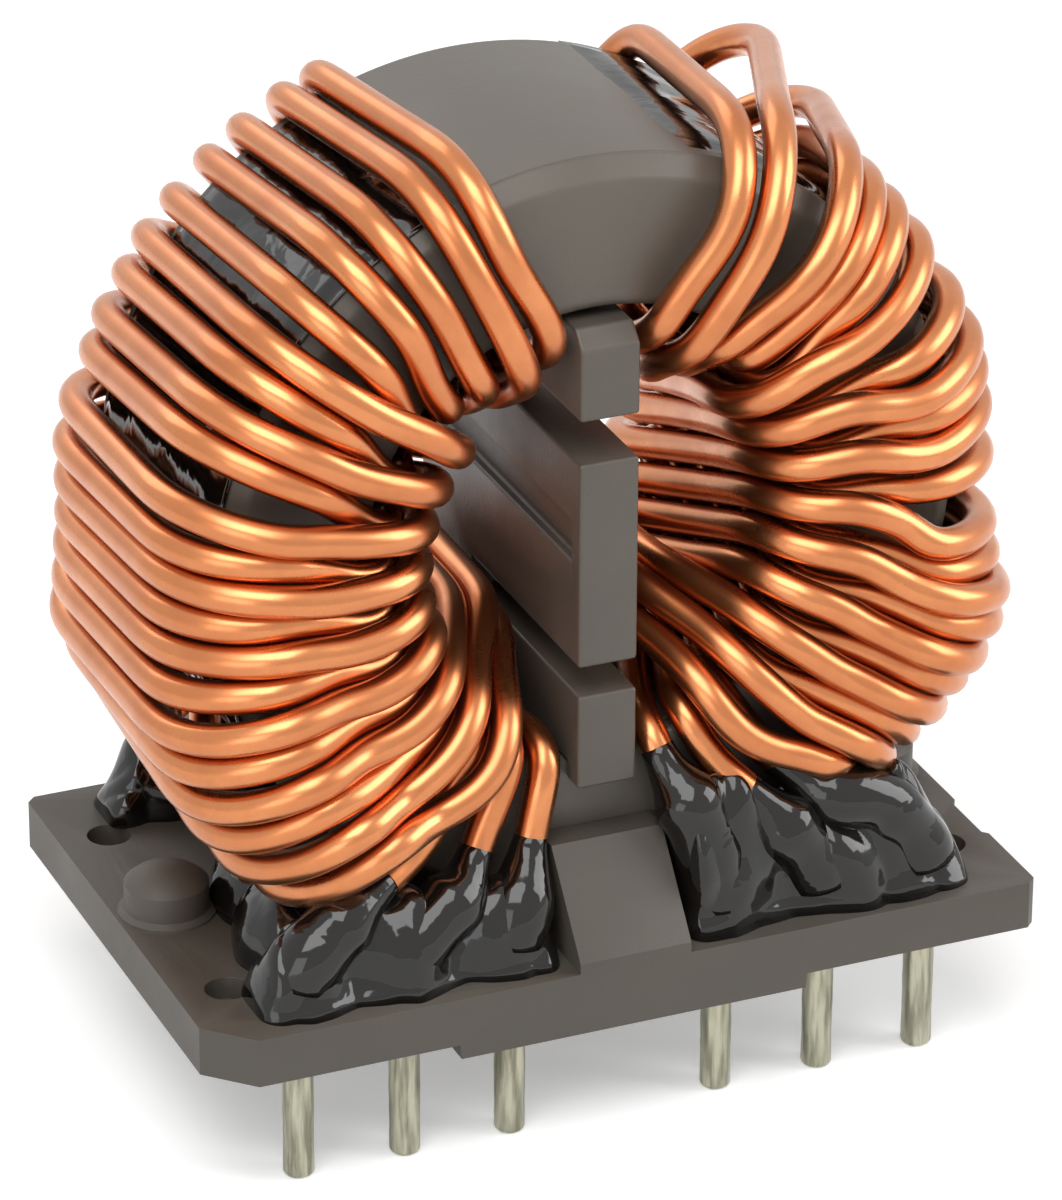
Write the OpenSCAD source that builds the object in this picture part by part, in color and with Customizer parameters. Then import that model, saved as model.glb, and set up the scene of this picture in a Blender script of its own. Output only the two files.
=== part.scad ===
// Common mode choke with a toroidal core case standing on a twelve-pin base plate.
// Lengths are in millimetres. X runs along the long side of the plate, Y runs from
// front to back along the axis of the core, Z points up. The origin is the middle
// of the pin field on the plane that rests on the circuit board.

/* [Base plate] */
// Distance from the outer pins to the ends of the plate
plate_end = 4.65; // [4.2:0.05:6]
// Distance from the pin rows to the front and back edge of the plate
plate_edge = 2.4; // [2.2:0.05:3.5]
// Thickness of the plate
plate_t = 2.3; // [1.8:0.1:3]
// Height of the two ridges that carry the plate off the board
ridge_h = 0.7; // [0.4:0.1:1.2]
// Length of a ridge along X, at the plate
ridge_len = 16.8; // [12:0.1:18]
// Distance between the pin holes and the ridges along Y
ridge_gap = 0.3; // [0.2:0.05:0.6]
// Chamfer that marks the front left corner
mark_chamfer = 2; // [1:0.1:3]
// Small chamfer on the other corners
corner_chamfer = 0.4; // [0.2:0.1:1]
// Depth of the shallow notch in the right edge
notch_dep = 0.25; // [0.1:0.05:0.4]
// Length of the shallow notch along Y
notch_len = 3.5; // [2:0.1:5]
// Middle of the notch along Y, towards the front
notch_at = 5.75; // [4:0.05:7]

/* [Plate details] */
// Diameter of the two round bosses
boss_d = 3.8; // [3:0.1:4.2]
// Height of the cylindrical part of a boss
boss_h = 1.5; // [0.8:0.1:2]
// Height of the dome on top of a boss
boss_dome = 0.8; // [0.4:0.1:1]
// Width of the low ring round the foot of a boss
boss_foot = 0.3; // [0.1:0.05:0.4]
// Distance of the bosses and recesses from the ends of the plate
boss_edge = 2.35; // [2.2:0.05:2.6]
// Diameter of the four blind recesses
recess_d = 2; // [1.4:0.1:2.4]
// Depth of the four blind recesses
recess_dep = 1.1; // [0.5:0.1:1.4]
// Distance of the recesses from the pin rows along Y
recess_in = 2.4; // [2:0.1:3]

/* [Pedestal] */
// Width of the pedestal along X
ped_w = 5.3; // [4.6:0.1:5.5]
// Height of the flat shelf above the plate
ped_h = 4.73; // [4:0.05:5.2]
// Height of the small upright foot of the ramp
ped_foot = 0.5; // [0.3:0.05:0.9]
// Distance by which the shelf stands out in front of the case
ped_shelf_out = 1.45; // [1:0.05:1.8]

/* [Pins] */
// Distance between neighbouring pins along X
pin_pitch = 5; // [4.95:0.01:5.05]
// Distance of the pin rows from the front and back of the case
pin_out = 2.4; // [2.3:0.05:2.6]
// Thickness of the solder on the dipped part of a pin
solder_t = 0.03; // [0.02:0.01:0.06]
// Length of a pin below the board plane
pin_len = 5.5; // [3.5:0.1:6]
// Gap between a pin and the wall of its hole
pin_hole_gap = 0.1; // [0.05:0.01:0.15]
// Height of the pin top above the plate
pin_top = 0.4; // [0.2:0.05:0.6]

/* [Core case] */
// Wall thickness of the case
case_wall = 0.9; // [0.8:0.05:1]
// Gap between the underside of the case and the plate
case_lift = 1.2; // [1:0.05:1.6]
// Thickness of the lid plate on the front
lid_t = 1; // [0.95:0.05:1.1]
// Chamfer on the outer edge of the lid
lid_chamfer = 0.85; // [0.6:0.05:0.9]
// Rounding of the other edges of the case
case_round = 0.6; // [0.5:0.05:0.7]
// Length of the rims by which the lid enters the tray
rim_len = 0.7; // [0.5:0.05:0.8]
// Thickness of those rims
rim_t = 0.7; // [0.5:0.05:0.9]
// Clearance between parts that meet
fit = 0.06; // [0.05:0.01:0.08]

/* [Divider] */
// Thickness of the divider across the hole
div_t = 2.76; // [2.4:0.02:2.8]
// Distance by which the divider tabs stand out in front of the case
div_out = 1.4; // [1.2:0.05:1.6]
// Distance by which the divider reaches below the hole outside the case
div_drop = 0.7; // [0.4:0.05:0.9]
// Gap between the divider and the top of the hole
div_top_gap = 0.4; // [0.3:0.05:0.7]
// Distance of the middle of the lower slot below the axis
slot1_drop = 6.2; // [5.8:0.05:6.6]
// Height of the lower slot
slot1_h = 1.4; // [0.8:0.1:2]
// Distance of the middle of the upper slot above the axis
slot2_rise = 5.2; // [4.8:0.05:5.6]
// Height of the upper slot
slot2_h = 2; // [1:0.1:2.6]
// Length of the slots along Y
slot_len = 12; // [8:0.1:14]
// Bevel on the upper front and back edges of the divider
div_bevel = 0.8; // [0.4:0.05:1.2]
// Height of the groove in the left face of the divider
groove_h = 1.9; // [1.2:0.05:2.2]
// Depth of that groove
groove_dep = 0.5; // [0.3:0.05:0.8]
// Distance of the middle of that groove above the axis
groove_rise = 0.25; // [0:0.05:1]
// Distance of the closed front end of that groove from the tab face
groove_in = 1; // [0.6:0.05:2]

/* [Core] */
// Diameter of the hole through the bare core ring
core_bore_d = 23.6; // [23.5:0.05:23.8]
// Thickness of the bare core ring from its hole to its outside
core_band = 4.5; // [4.4:0.05:4.6]
// Width of the bare core ring along Y
core_w = 12.4; // [12.2:0.05:12.6]
// Gap between the core and the case around it and in its hole
core_gap = 0.2; // [0.1:0.05:0.25]
// Gap between the core and the rims of the lid
rim_gap = 0.2; // [0.1:0.05:0.4]
// Chamfer on the edges of the core ring
core_chamfer = 0.3; // [0.1:0.05:0.5]
// Gap between the core and the soft ring under the lid
cushion_gap = 0.29; // [0.2:0.01:0.4]

/* [Windings] */
// Diameter of the wire
wire_d = 1.4; // [1.3:0.01:1.42]
// Gap between the wire and the case on its outside and faces
wire_gap = 0.3; // [0.28:0.01:0.32]
// Radius of the wire bends at the outer edges of the case
bend_out = 2; // [1.9:0.05:2.1]
// Radius of the wire bends at the edges of the hole
bend_in = 1.6; // [1.55:0.05:1.65]
// Gap between the first wire layer and the wall of the hole
layer1_gap = 0.19; // [0.17:0.01:0.25]
// Gap between the first and the second layer
layer2_gap = 0.45; // [0.44:0.01:0.55]
// Gap between the second layer and the ends that leave the hole
layer3_gap = 0.23; // [0.2:0.01:0.3]
// Gap between the second layer and the first on the faces
cross_gap = 0.15; // [0.1:0.01:0.2]
// Angle of the first outer turn from the top
out_first_angle = 18.5; // [18.3:0.1:18.8]
// Angle between neighbouring outer turns
out_step_angle = 5.85; // [5.83:0.01:5.87]
// Angle by which the outer turns lean from back to front
out_lean_angle = 3.8; // [3.6:0.1:4]
// Gap between the divider and the wire next to it
div_gap = 0.36; // [0.34:0.01:0.4]
// Angle between the upper turns of the first layer in the hole
hole_step_angle = 9.7; // [9.6:0.1:9.8]
// Angle of the first turn of the second layer in the hole
cross_first_angle = 50.3; // [50:0.1:50.6]
// Angle of the last turn of the second layer in the hole
cross_last_angle = 148.8; // [148.5:0.1:149.1]
// Angle of the lowest front end in the hole
lead_last_angle = 165.6; // [165.3:0.1:165.9]
// Angle between the front ends in the hole
lead_step_angle = 9.9; // [9.7:0.1:10]
// Distance by which the crossing turn sinks before the hole
cross_sink = 0.7; // [0.65:0.05:0.75]
// Distance by which the middle strand nests inwards
nest = 1; // [0.95:0.05:1]
// Height of the front bends above the plate, on the left
left_lead_h = 5.1; // [4.9:0.1:5.3]
// Height of the front bends above the plate, on the right
right_lead_h = 6.4; // [6:0.1:6.6]

/* [Resin] */
// Height of the resin on the left of the front
left_pool_h = 4.2; // [3:0.1:4.3]
// Height of the resin on the right of the front
right_pool_h = 7.2; // [6.9:0.1:7.4]
// Height of the resin at the back
back_pool_h = 4; // [3:0.1:4.2]
// Distance by which the resin reaches out in front of the pin rows
pool_out = 1.5; // [1.2:0.05:1.9]
// Gap between the resin and the case
pool_case_gap = 0.3; // [0.2:0.05:0.6]
// Gap between the resin and the pedestal
pool_ped_gap = 0.35; // [0.2:0.05:0.5]
// Clearance between the resin and the wires and pins in it
pool_fit = 0.12; // [0.08:0.01:0.2]

/* [Hidden] */
// Overrun of cuts and of the ends that lie inside another piece.
over = 1;
copper = [0.80, 0.42, 0.25];
tin = [0.74, 0.75, 0.70];
black_resin = [0.13, 0.12, 0.11];
// Outer and inner radius and half the width of the case round its core.
case_ro = core_bore_d / 2 + core_band + core_gap + case_wall;
case_ri = core_bore_d / 2 - core_gap - case_wall;
case_w = case_wall + core_w + rim_gap + rim_len + lid_t;
case_h = case_w / 2;
// Pins, which are the stripped and dipped ends of the wires.
pin_d = wire_d;
pin_hole_d = pin_d + 2 * pin_hole_gap;
row_y = case_h + pin_out;
half_len = 3 * pin_pitch + plate_end;
half_dep = row_y + plate_edge;
ridge_dep = plate_edge - pin_hole_d / 2 - ridge_gap;
boss_x = half_len - boss_edge;
recess_y = row_y - recess_in;
ped_shelf_y = case_h + ped_shelf_out;
plate_top = ridge_h + plate_t;
ring_z = plate_top + case_lift + case_ro;
tray_end = case_h - lid_t;
div_y = case_h + div_out;
pool_y = row_y + pool_out;
pool_dep = pool_y - case_h - pool_case_gap;
face_y = case_h + wire_d / 2 + wire_gap;
out_r = case_ro + wire_d / 2 + wire_gap;
layer1_r = case_ri - wire_d / 2 - layer1_gap;
bend_y = face_y - bend_in;
bend_r = layer1_r + bend_in;
layer2_step = wire_d + layer2_gap;
layer2_r = layer1_r - layer2_step;
layer3_r = layer2_r - wire_d - layer3_gap;
cross_h = wire_d + cross_gap;
pin_z = plate_top + pin_top;
case_facets = 64;
core_facets = 48;
pin_facets = 14;
boss_facets = 24;
// Sides of a wire and of its bends.
wire_sides = 6;
bend_shares = [0, 0.5, 1];
// Share of the way through the hole at which the two rings of a turn sit.
hole_shares = [1 / 3, 2 / 3];
// The same for the turn that crosses from the first layer to the second.
sink_shares = [0.15, 1 / 3, 2 / 3];
// How far the middle strand nests at those three rings.
sink_nest_shares = [1, 0.64, 0.34];
// Where the front ends bend down to their pins, as shares of the pin place.
front_bend_shares = [0.707, 0.69, 0.82];
// Heights of those bends as shares of the highest one.
left_height_shares = [1, 0.73, 0.65];
right_bend_shares = [0.79, 0.58, 0.74];
right_height_shares = [0.82, 1, 0.98];
// Where the front ends leave the front face, as shares of the furthest radius.
left_leave_shares = [1, 0.95, 0.93];
right_leave_shares = [0.92, 0.78, 0.75];
// Outlines of the resin as seen from the front: places along X as shares of the
// way from the middle to the outer pin, without the inner end, and heights as
// shares of the pool height.
pool_x_shares = [0.24, 0.34, 0.5, 0.62, 0.74, 0.88, 1.02, 1.13];
left_pool_shares = [0.3, 0.62, 0.76, 0.72, 0.84, 1, 0.94, 0.58, 0.12];
right_pool_shares = [0.4, 0.9, 1, 0.72, 0.46, 0.5, 0.56, 0.38, 0.1];
back_pool_shares = [0.3, 0.7, 0.84, 0.86, 0.98, 0.94, 0.78, 0.46, 0.1];
// Cross section of the resin from its outer foot to its inner foot: depths as
// shares of the pool depth, heights as shares of the tallest pool.
pool_y_shares = [0, 0.08, 0.24, 0.5, 0.82, 1];
pool_dome_shares = [0.2, 0.6, 0.9, 1, 0.86, 0.4];
// Share by which each further stretch of a channel is wider than the last.
channel_share = 0.07;

function mix(a, b, t) = a + (b - a) * t;
function arc(cx, cy, r, from, to, steps) =
  [for (i = [0 : steps]) [cx + r * cos(mix(from, to, i / steps)), cy + r * sin(mix(from, to, i / steps))]];

// Point at radius r and angle a from the top of the ring, at depth y.
function ring_point(side, r, a, y) = [side * r * sin(a), y, ring_z + r * cos(a)];

// Angles of the turns of the first and second layer in the hole.
hole_first_angle = asin((div_t / 2 + div_gap + wire_d / 2) / layer1_r);
lead_first_angle = lead_last_angle - 2 * lead_step_angle;
hole_fifth_angle = hole_first_angle + 4 * hole_step_angle;
function slot_a(m) =
  m <= 4 ? hole_first_angle + hole_step_angle * m : mix(hole_fifth_angle, lead_first_angle, (m - 4) / 8);
function slot_b(m) = mix(cross_first_angle, cross_last_angle, m / 8);
// Places of the same turns in the row on the outside of the ring.
function place_a(m) = m < 5 ? m : 2 * m - 4;
function place_b(m) = m < 8 ? 5 + 2 * m : 20;
// Turn k of strand s: turns 0 to 3 climb in the first layer, 4 to 6 come down.
function second(k) = k > 3;
function order(k, s) = second(k) ? 3 * (k - 4) + s : 9 - 3 * k + s;
function hole_angle(k, s) =
  k < 0 ? lead_first_angle + lead_step_angle * s : second(k) ? slot_b(order(k, s)) : slot_a(order(k, s));
function out_angle(k, s) =
  out_first_angle + out_step_angle * (second(k) ? place_b(order(k, s)) : place_a(order(k, s)));

// Bend at the edge of the hole, from the hole to the face; e is 1 at the back
// and -1 at the front.
function hole_bend(side, r, rise, a, e) =
  [for (t = bend_shares) ring_point(side, bend_r - (bend_r - r) * cos(90 * t), a,
    e * (bend_y + (bend_in + rise) * sin(90 * t)))];
// Bend at the outer edge of the case, from the face to the outside.
function outer_bend(side, lift, a, e) =
  [for (t = bend_shares) ring_point(side, out_r - bend_out + bend_out * sin(90 * t), a,
    e * (face_y - bend_out + (bend_out + lift * pow(1 - t, 1.5)) * cos(90 * t)))];
function flip(list) = [for (i = [len(list) - 1 : -1 : 0]) list[i]];

// Lift of the second layer at the outer bend.
face_lift = 0.6;
// Where the wire is measured halfway over the face, as a share of the way from
// the hole to the outside, and its share of the rise there.
face_share = 0.4925;
face_r = mix(case_ri, case_ro, face_share);
rise_share = 0.93;
face_part = (face_r - bend_r) / (out_r - bend_out - bend_r);
face_height = rise_share * cross_h;

// Straight part of turn k in the hole, from front to back.
function hole_run(side, k, s) =
  let (r = second(k) ? layer2_r : layer1_r)
  let (shares = k == 4 ? sink_shares : hole_shares)
  let (dip = k == 4 && s == 1 ? nest : 0)
  [for (i = [0 : len(shares) - 1]) ring_point(side, r - dip * sink_nest_shares[i],
    mix(hole_angle(k - 1, s), hole_angle(k, s), shares[i]), mix(-bend_y, bend_y, shares[i]))];
// Ring of a second layer turn halfway over the face.
function face_ring(side, k, s, lean, e) =
  second(k) ? [ring_point(side, face_r, mix(hole_angle(k, s), out_angle(k, s) + lean, face_part),
    e * (face_y + face_height))] : [];
// Whole turn k of strand s: through the hole to the back, over the outside to
// the front and down the front face to the hole.
function turn(side, k, s) =
  let (r = second(k) ? layer2_r : layer1_r)
  let (rise = second(k) ? cross_h : 0)
  let (lift = second(k) ? face_lift : 0)
  let (sink = k == 3 ? cross_sink + (s == 1 ? nest : 0) : 0)
  let (a = hole_angle(k, s))
  let (b = out_angle(k, s))
  concat(hole_run(side, k, s),
    hole_bend(side, r, rise, a, 1),
    face_ring(side, k, s, out_lean_angle, 1),
    outer_bend(side, lift, b + out_lean_angle, 1),
    flip(outer_bend(side, lift, b, -1)),
    face_ring(side, k, s, 0, -1),
    flip(hole_bend(side, r - sink, rise + cross_h * sink / layer2_step, a, -1)));

// Front end: up from the pin, in two bends to the hole.
front_mid_share = 0.827;
front_mid_r = mix(case_ri, case_ro, front_mid_share);
front_bulge = 0.24;
front_in = 0.3;
function pin_x(s) = pin_pitch * (3 - s);
function front_bend(side, s) =
  let (x = pin_x(s) * (side < 0 ? front_bend_shares[s] : right_bend_shares[s]))
  let (h = side < 0 ? left_lead_h * left_height_shares[s] : right_lead_h * right_height_shares[s])
  [side * x, front_in - row_y, plate_top + h];
function front_end(side, s) =
  let (a = hole_angle(-1, s))
  concat([[side * pin_x(s), -row_y, pin_z],
    [side * pin_x(s), -row_y, pin_z + wire_d],
    front_bend(side, s),
    ring_point(side, front_mid_r * (side < 0 ? left_leave_shares[s] : right_leave_shares[s]), a,
      -face_y - front_bulge)],
    flip(hole_bend(side, layer1_r, 0, a, -1)));

// Back end: a third layer out of the hole and down over the back face.
back_lag_angle = 2.5;
back_turn_angle = 7.9;
back_shares = [0.26, 0.56];
back_y = face_y + cross_h + wire_d + pool_fit;
back_step = 1.2;
back_drop = 3.6;
back_bend_h = 5.4;
function back_end(side, s) =
  let (a = hole_angle(6, s) + back_turn_angle)
  let (r = layer3_r - (s == 1 ? nest : 0))
  let (x = layer3_r * sin(a))
  [ring_point(side, r, a - back_lag_angle, mix(-bend_y, bend_y, back_shares[0])),
    ring_point(side, r, a, mix(-bend_y, bend_y, back_shares[1])),
    ring_point(side, r, a, bend_y),
    ring_point(side, r + back_step, a, mix(bend_y, back_y, 0.72)),
    [side * (1.18 * x + 0.1 * pin_x(s)), back_y, ring_z + (layer3_r + back_drop) * cos(a)],
    [side * (0.45 * x + 0.495 * pin_x(s)), back_y - front_in, plate_top + back_bend_h],
    [side * pin_x(s), row_y, pin_z + wire_d],
    [side * pin_x(s), row_y, pin_z]];

function strand_path(side, s) =
  concat(front_end(side, s), [for (k = [0 : 6]) each turn(side, k, s)], back_end(side, s));

// Direction of the path at each point, square to the joint at both ends.
function unit_of(v) = v / norm(v);
function tangents(p) =
  [for (i = [0 : len(p) - 1]) unit_of(i == 0 ? p[1] - p[0] : i == len(p) - 1 ? p[i] - p[i - 1] :
    unit_of(p[i + 1] - p[i]) + unit_of(p[i] - p[i - 1]))];
// Side direction carried along the path without twist.
function carry(u, t) = unit_of(u - (u * t) * t);
function sides_of(t) =
  [for (i = 0, u = carry([0, 1, 0], t[0]); i < len(t);
    i = i + 1, u = i < len(t) ? carry(u, t[i]) : u) u];

// Wire along a path: rings of corners joined by triangles, with two flat ends.
module wire(p) {
  t = tangents(p);
  u = sides_of(t);
  n = len(p);
  m = wire_sides;
  r = wire_d / 2;
  corners = [for (i = [0 : n - 1]) for (j = [0 : m - 1])
    p[i] + r * cos(360 * j / m) * u[i] + r * sin(360 * j / m) * cross(t[i], u[i])];
  around = [for (i = [0 : n - 2]) for (j = [0 : m - 1]) each [
    [i * m + j, (i + 1) * m + j, i * m + (j + 1) % m],
    [i * m + (j + 1) % m, (i + 1) * m + j, (i + 1) * m + (j + 1) % m]]];
  ends = [for (j = [1 : m - 2]) each [
    [0, j, j + 1],
    [(n - 1) * m, (n - 1) * m + j + 1, (n - 1) * m + j]]];
  polyhedron(points = corners, faces = concat(around, ends), convexity = 10);
}

// Least gap of a strand to itself, measured between points four to a span.
function fine(p) =
  concat([for (i = [0 : len(p) - 2]) for (q = [0 : 3]) mix(p[i], p[i + 1], q / 4)], [p[len(p) - 1]]);
function run_lengths(p) =
  [for (i = 0, d = 0; i < len(p); i = i + 1, d = i < len(p) ? d + norm(p[i] - p[i - 1]) : d) d];
function self_gap(p) =
  let (q = fine(p))
  let (d = run_lengths(q))
  min([for (i = [0 : len(q) - 1]) for (j = [i + 1 : 1 : len(q) - 1])
    if (d[j] - d[i] > 3.5 * wire_d) norm(q[i] - q[j])]) - wire_d;

module strand(side, s) {
  p = strand_path(side, s);
  echo(str("least gap of strand ", s + 1, side < 0 ? " left" : " right"), self_gap(p));
  wire(p);
}

// Round bar between two points, a little longer than their distance.
module round_bar(a, b, r) {
  d = b - a;
  extra = r * 0.6;
  translate(a - extra * unit_of(d)) rotate([0, acos(d.z / norm(d)), atan2(d.y, d.x)])
    cylinder(h = norm(d) + 2 * extra, r = r, $fn = pin_facets);
}

// Pin with a slightly tapered tip; the solder on it ends at the board plane.
module pin(sx, sy, s) {
  tip = pin_d * 0.18;
  bare = pin_d / 2 - solder_t;
  translate([sx * pin_x(s), sy * row_y, 0]) rotate_extrude($fn = pin_facets) polygon([
    [0, -pin_len],
    [pin_d / 2 - tip, -pin_len],
    [pin_d / 2, tip - pin_len],
    [pin_d / 2, 0],
    [bare, 0],
    [bare, pin_z],
    [0, pin_z]]);
}

// Resin pool over three pins, with the channels of their wires.
module pool(sx, sy, height, shares) {
  tallest = max(left_pool_h, right_pool_h, back_pool_h);
  low = plate_top;
  n = len(pool_x_shares);
  inner = ped_w / 2 + pool_ped_gap;
  front_view = concat([[inner, low], [inner, low + height * shares[0]]],
    [for (i = [1 : n]) [pool_x_shares[i - 1] * pin_x(0), low + height * shares[i]]],
    [[pool_x_shares[n - 1] * pin_x(0), low]]);
  side_view = concat([for (i = [0 : len(pool_y_shares) - 1])
    [pool_y - pool_dep * pool_y_shares[i], low + tallest * pool_dome_shares[i]]],
    [[pool_y - pool_dep, low], [pool_y, low]]);
  // Drawn on the right and at the back, and mirrored to its place.
  mirror([sx < 0 ? 1 : 0, 0, 0]) mirror([0, sy < 0 ? 1 : 0, 0]) difference() {
    intersection() {
      translate([0, pool_y, 0]) rotate([90, 0, 0])
        linear_extrude(height = pool_dep) polygon(front_view);
      rotate([90, 0, 90]) linear_extrude(height = half_len) polygon(side_view);
    }
    for (s = [0 : 2]) {
      p = [for (q = sy < 0 ? front_end(sx, s) : flip(back_end(sx, s))) [sx * q.x, sy * q.y, q.z]];
      r = wire_d / 2 + pool_fit;
      translate([p[0].x, p[0].y, plate_top - over])
        cylinder(h = p[1].z - plate_top + over, r = r, $fn = pin_facets);
      for (i = [1, 2]) round_bar(p[i], p[i + 1], r * (1 + channel_share * i));
    }
  }
}

// Ring profiles below are drawn with the radius across and the depth towards
// the front upwards; this lays them along Y.
module along_y(facets) {
  translate([0, 0, ring_z]) rotate([90, 0, 0]) rotate_extrude($fn = facets) children();
}

module plate_outline() {
  c = corner_chamfer;
  m = mark_chamfer;
  y1 = -notch_at - notch_len / 2;
  y2 = -notch_at + notch_len / 2;
  polygon([
    [m - half_len, -half_dep],
    [half_len - c, -half_dep],
    [half_len, c - half_dep],
    [half_len, y1],
    [half_len - notch_dep, y1 + notch_dep],
    [half_len - notch_dep, y2 - notch_dep],
    [half_len, y2],
    [half_len, half_dep - c],
    [half_len - c, half_dep],
    [c - half_len, half_dep],
    [-half_len, half_dep - c],
    [-half_len, m - half_dep]]);
}

// Ridge under the front or back edge, slightly narrower at its foot.
module ridge(sy) {
  w = ridge_len / 2;
  slope = ridge_h * 0.2;
  translate([0, sy > 0 ? half_dep : ridge_dep - half_dep, 0]) rotate([90, 0, 0])
    linear_extrude(height = ridge_dep) polygon([
      [slope - w, 0],
      [w - slope, 0],
      [w, ridge_h + plate_t / 2],
      [-w, ridge_h + plate_t / 2]]);
}

// Round boss with a ring at its foot and a domed top.
module boss() {
  r = boss_d / 2;
  ball = (r * r + boss_dome * boss_dome) / (2 * boss_dome);
  span = asin(r / ball);
  rotate_extrude($fn = boss_facets) polygon(concat([
    [0, -over / 2],
    [r + boss_foot, -over / 2],
    [r + boss_foot, boss_foot / 2],
    [r, boss_foot],
    [r, boss_h]],
    [for (i = [1 : 4]) let (a = span * (1 - i / 4))
      [ball * sin(a), boss_h + boss_dome - ball + ball * cos(a)]]));
}

// Pedestal under the case: two ramps with flat shelves and a round seat between.
module pedestal() {
  difference() {
    translate([-ped_w / 2, 0, 0]) rotate([90, 0, 90]) linear_extrude(height = ped_w) polygon([
      [-half_dep, plate_top - plate_t / 2],
      [half_dep, plate_top - plate_t / 2],
      [half_dep, plate_top + ped_foot],
      [ped_shelf_y, plate_top + ped_h],
      [-ped_shelf_y, plate_top + ped_h],
      [-half_dep, plate_top + ped_foot]]);
    translate([0, case_h + fit, ring_z]) rotate([90, 0, 0])
      cylinder(h = case_w + 2 * fit, r = case_ro + fit, $fn = case_facets);
  }
}

module base_plate() {
  color([0.33, 0.31, 0.29]) difference() {
    union() {
      translate([0, 0, ridge_h]) linear_extrude(height = plate_t) plate_outline();
      for (sy = [-1, 1]) ridge(sy);
      for (sx = [-1, 1]) translate([sx * boss_x, 0, plate_top]) boss();
      pedestal();
    }
    for (sx = [-1, 1]) for (sy = [-1, 1]) {
      translate([sx * boss_x, sy * recess_y, plate_top - recess_dep])
        cylinder(h = recess_dep + over, d = recess_d, $fn = boss_facets);
      for (s = [0 : 2]) translate([sx * pin_x(s), sy * row_y, ridge_h - over])
        cylinder(h = plate_t + 2 * over, d = pin_hole_d, $fn = pin_facets);
    }
  }
}

// Divider across the hole: a slotted bar whose ends stand in front of both faces.
module divider() {
  bore = case_ri - fit;
  t = div_t / 2;
  low = ring_z - case_ri - div_drop;
  high = ring_z + case_ri - div_top_gap;
  b = div_bevel;
  lip = case_h + fit;
  foot = ring_z - sqrt(bore * bore - t * t);
  color([0.36, 0.34, 0.32]) difference() {
    translate([-t, 0, 0]) rotate([90, 0, 90]) linear_extrude(height = div_t) polygon([
      [-div_y, low],
      [-lip, low],
      [-lip, foot],
      [lip, foot],
      [lip, low],
      [div_y, low],
      [div_y, high - b],
      [div_y - b, high],
      [b - div_y, high],
      [-div_y, high - b]]);
    for (slot = [[-slot1_drop, slot1_h], [slot2_rise, slot2_h]])
      translate([-div_t, -div_y - over, ring_z + slot[0] - slot[1] / 2])
        cube([2 * div_t, slot_len + over, slot[1]]);
    translate([-t - over, groove_in - div_y, ring_z + groove_rise - groove_h / 2])
      cube([groove_dep + over, 2 * div_y, groove_h]);
  }
}

// Deep half of the case, closed at the back.
module core_case_tray() {
  e = case_round;
  color([0.40, 0.38, 0.36]) along_y(case_facets) polygon(concat(
    arc(case_ri + e, e - case_h, e, 180, 270, 2),
    arc(case_ro - e, e - case_h, e, 270, 360, 2),
    [[case_ro, tray_end],
      [case_ro - case_wall, tray_end],
      [case_ro - case_wall, case_wall - case_h],
      [case_ri + case_wall, case_wall - case_h],
      [case_ri + case_wall, tray_end],
      [case_ri, tray_end]]));
}

// Lid on the front, with two rims that enter the tray.
module core_case_lid() {
  e = case_round;
  low = tray_end + fit;
  a = case_ri + case_wall + fit;
  b = case_ro - case_wall - fit;
  color([0.43, 0.41, 0.38]) along_y(case_facets) polygon(concat(
    [[case_ri, low],
      [a, low],
      [a, low - rim_len],
      [a + rim_t, low - rim_len],
      [a + rim_t, low],
      [b - rim_t, low],
      [b - rim_t, low - rim_len],
      [b, low - rim_len],
      [b, low],
      [case_ro, low],
      [case_ro, case_h - lid_chamfer],
      [case_ro - lid_chamfer, case_h]],
    arc(case_ri + e, case_h - e, e, 90, 180, 2)));
}

// Bare ring core in the tray.
module core_ring() {
  c = core_chamfer;
  low = case_wall - case_h + fit;
  ri = core_bore_d / 2;
  ro = ri + core_band;
  color([0.55, 0.56, 0.58]) along_y(core_facets) polygon([
    [ri, low + c],
    [ri + c, low],
    [ro - c, low],
    [ro, low + c],
    [ro, low + core_w - c],
    [ro - c, low + core_w],
    [ri + c, low + core_w],
    [ri, low + core_w - c]]);
}

// Soft ring that keeps the core from rattling under the lid.
module core_cushion() {
  high = tray_end;
  low = case_wall - case_h + fit + core_w + cushion_gap;
  a = case_ri + case_wall + rim_t + 3 * fit;
  b = case_ro - case_wall - rim_t - 3 * fit;
  color([0.85, 0.84, 0.80]) along_y(core_facets) polygon([
    [a, low],
    [b, low],
    [b, high],
    [a, high]]);
}

// Strand 1 ends on the outer pins, strand 3 on the inner ones.
module left_strand_1() {
  color(copper) strand(-1, 0);
}

module left_strand_2() {
  color(copper) strand(-1, 1);
}

module left_strand_3() {
  color(copper) strand(-1, 2);
}

module right_strand_1() {
  color(copper) strand(1, 0);
}

module right_strand_2() {
  color(copper) strand(1, 1);
}

module right_strand_3() {
  color(copper) strand(1, 2);
}

module front_left_pin_1() {
  color(tin) pin(-1, -1, 0);
}

module front_left_pin_2() {
  color(tin) pin(-1, -1, 1);
}

module front_left_pin_3() {
  color(tin) pin(-1, -1, 2);
}

module front_right_pin_1() {
  color(tin) pin(1, -1, 0);
}

module front_right_pin_2() {
  color(tin) pin(1, -1, 1);
}

module front_right_pin_3() {
  color(tin) pin(1, -1, 2);
}

module back_left_pin_1() {
  color(tin) pin(-1, 1, 0);
}

module back_left_pin_2() {
  color(tin) pin(-1, 1, 1);
}

module back_left_pin_3() {
  color(tin) pin(-1, 1, 2);
}

module back_right_pin_1() {
  color(tin) pin(1, 1, 0);
}

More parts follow.
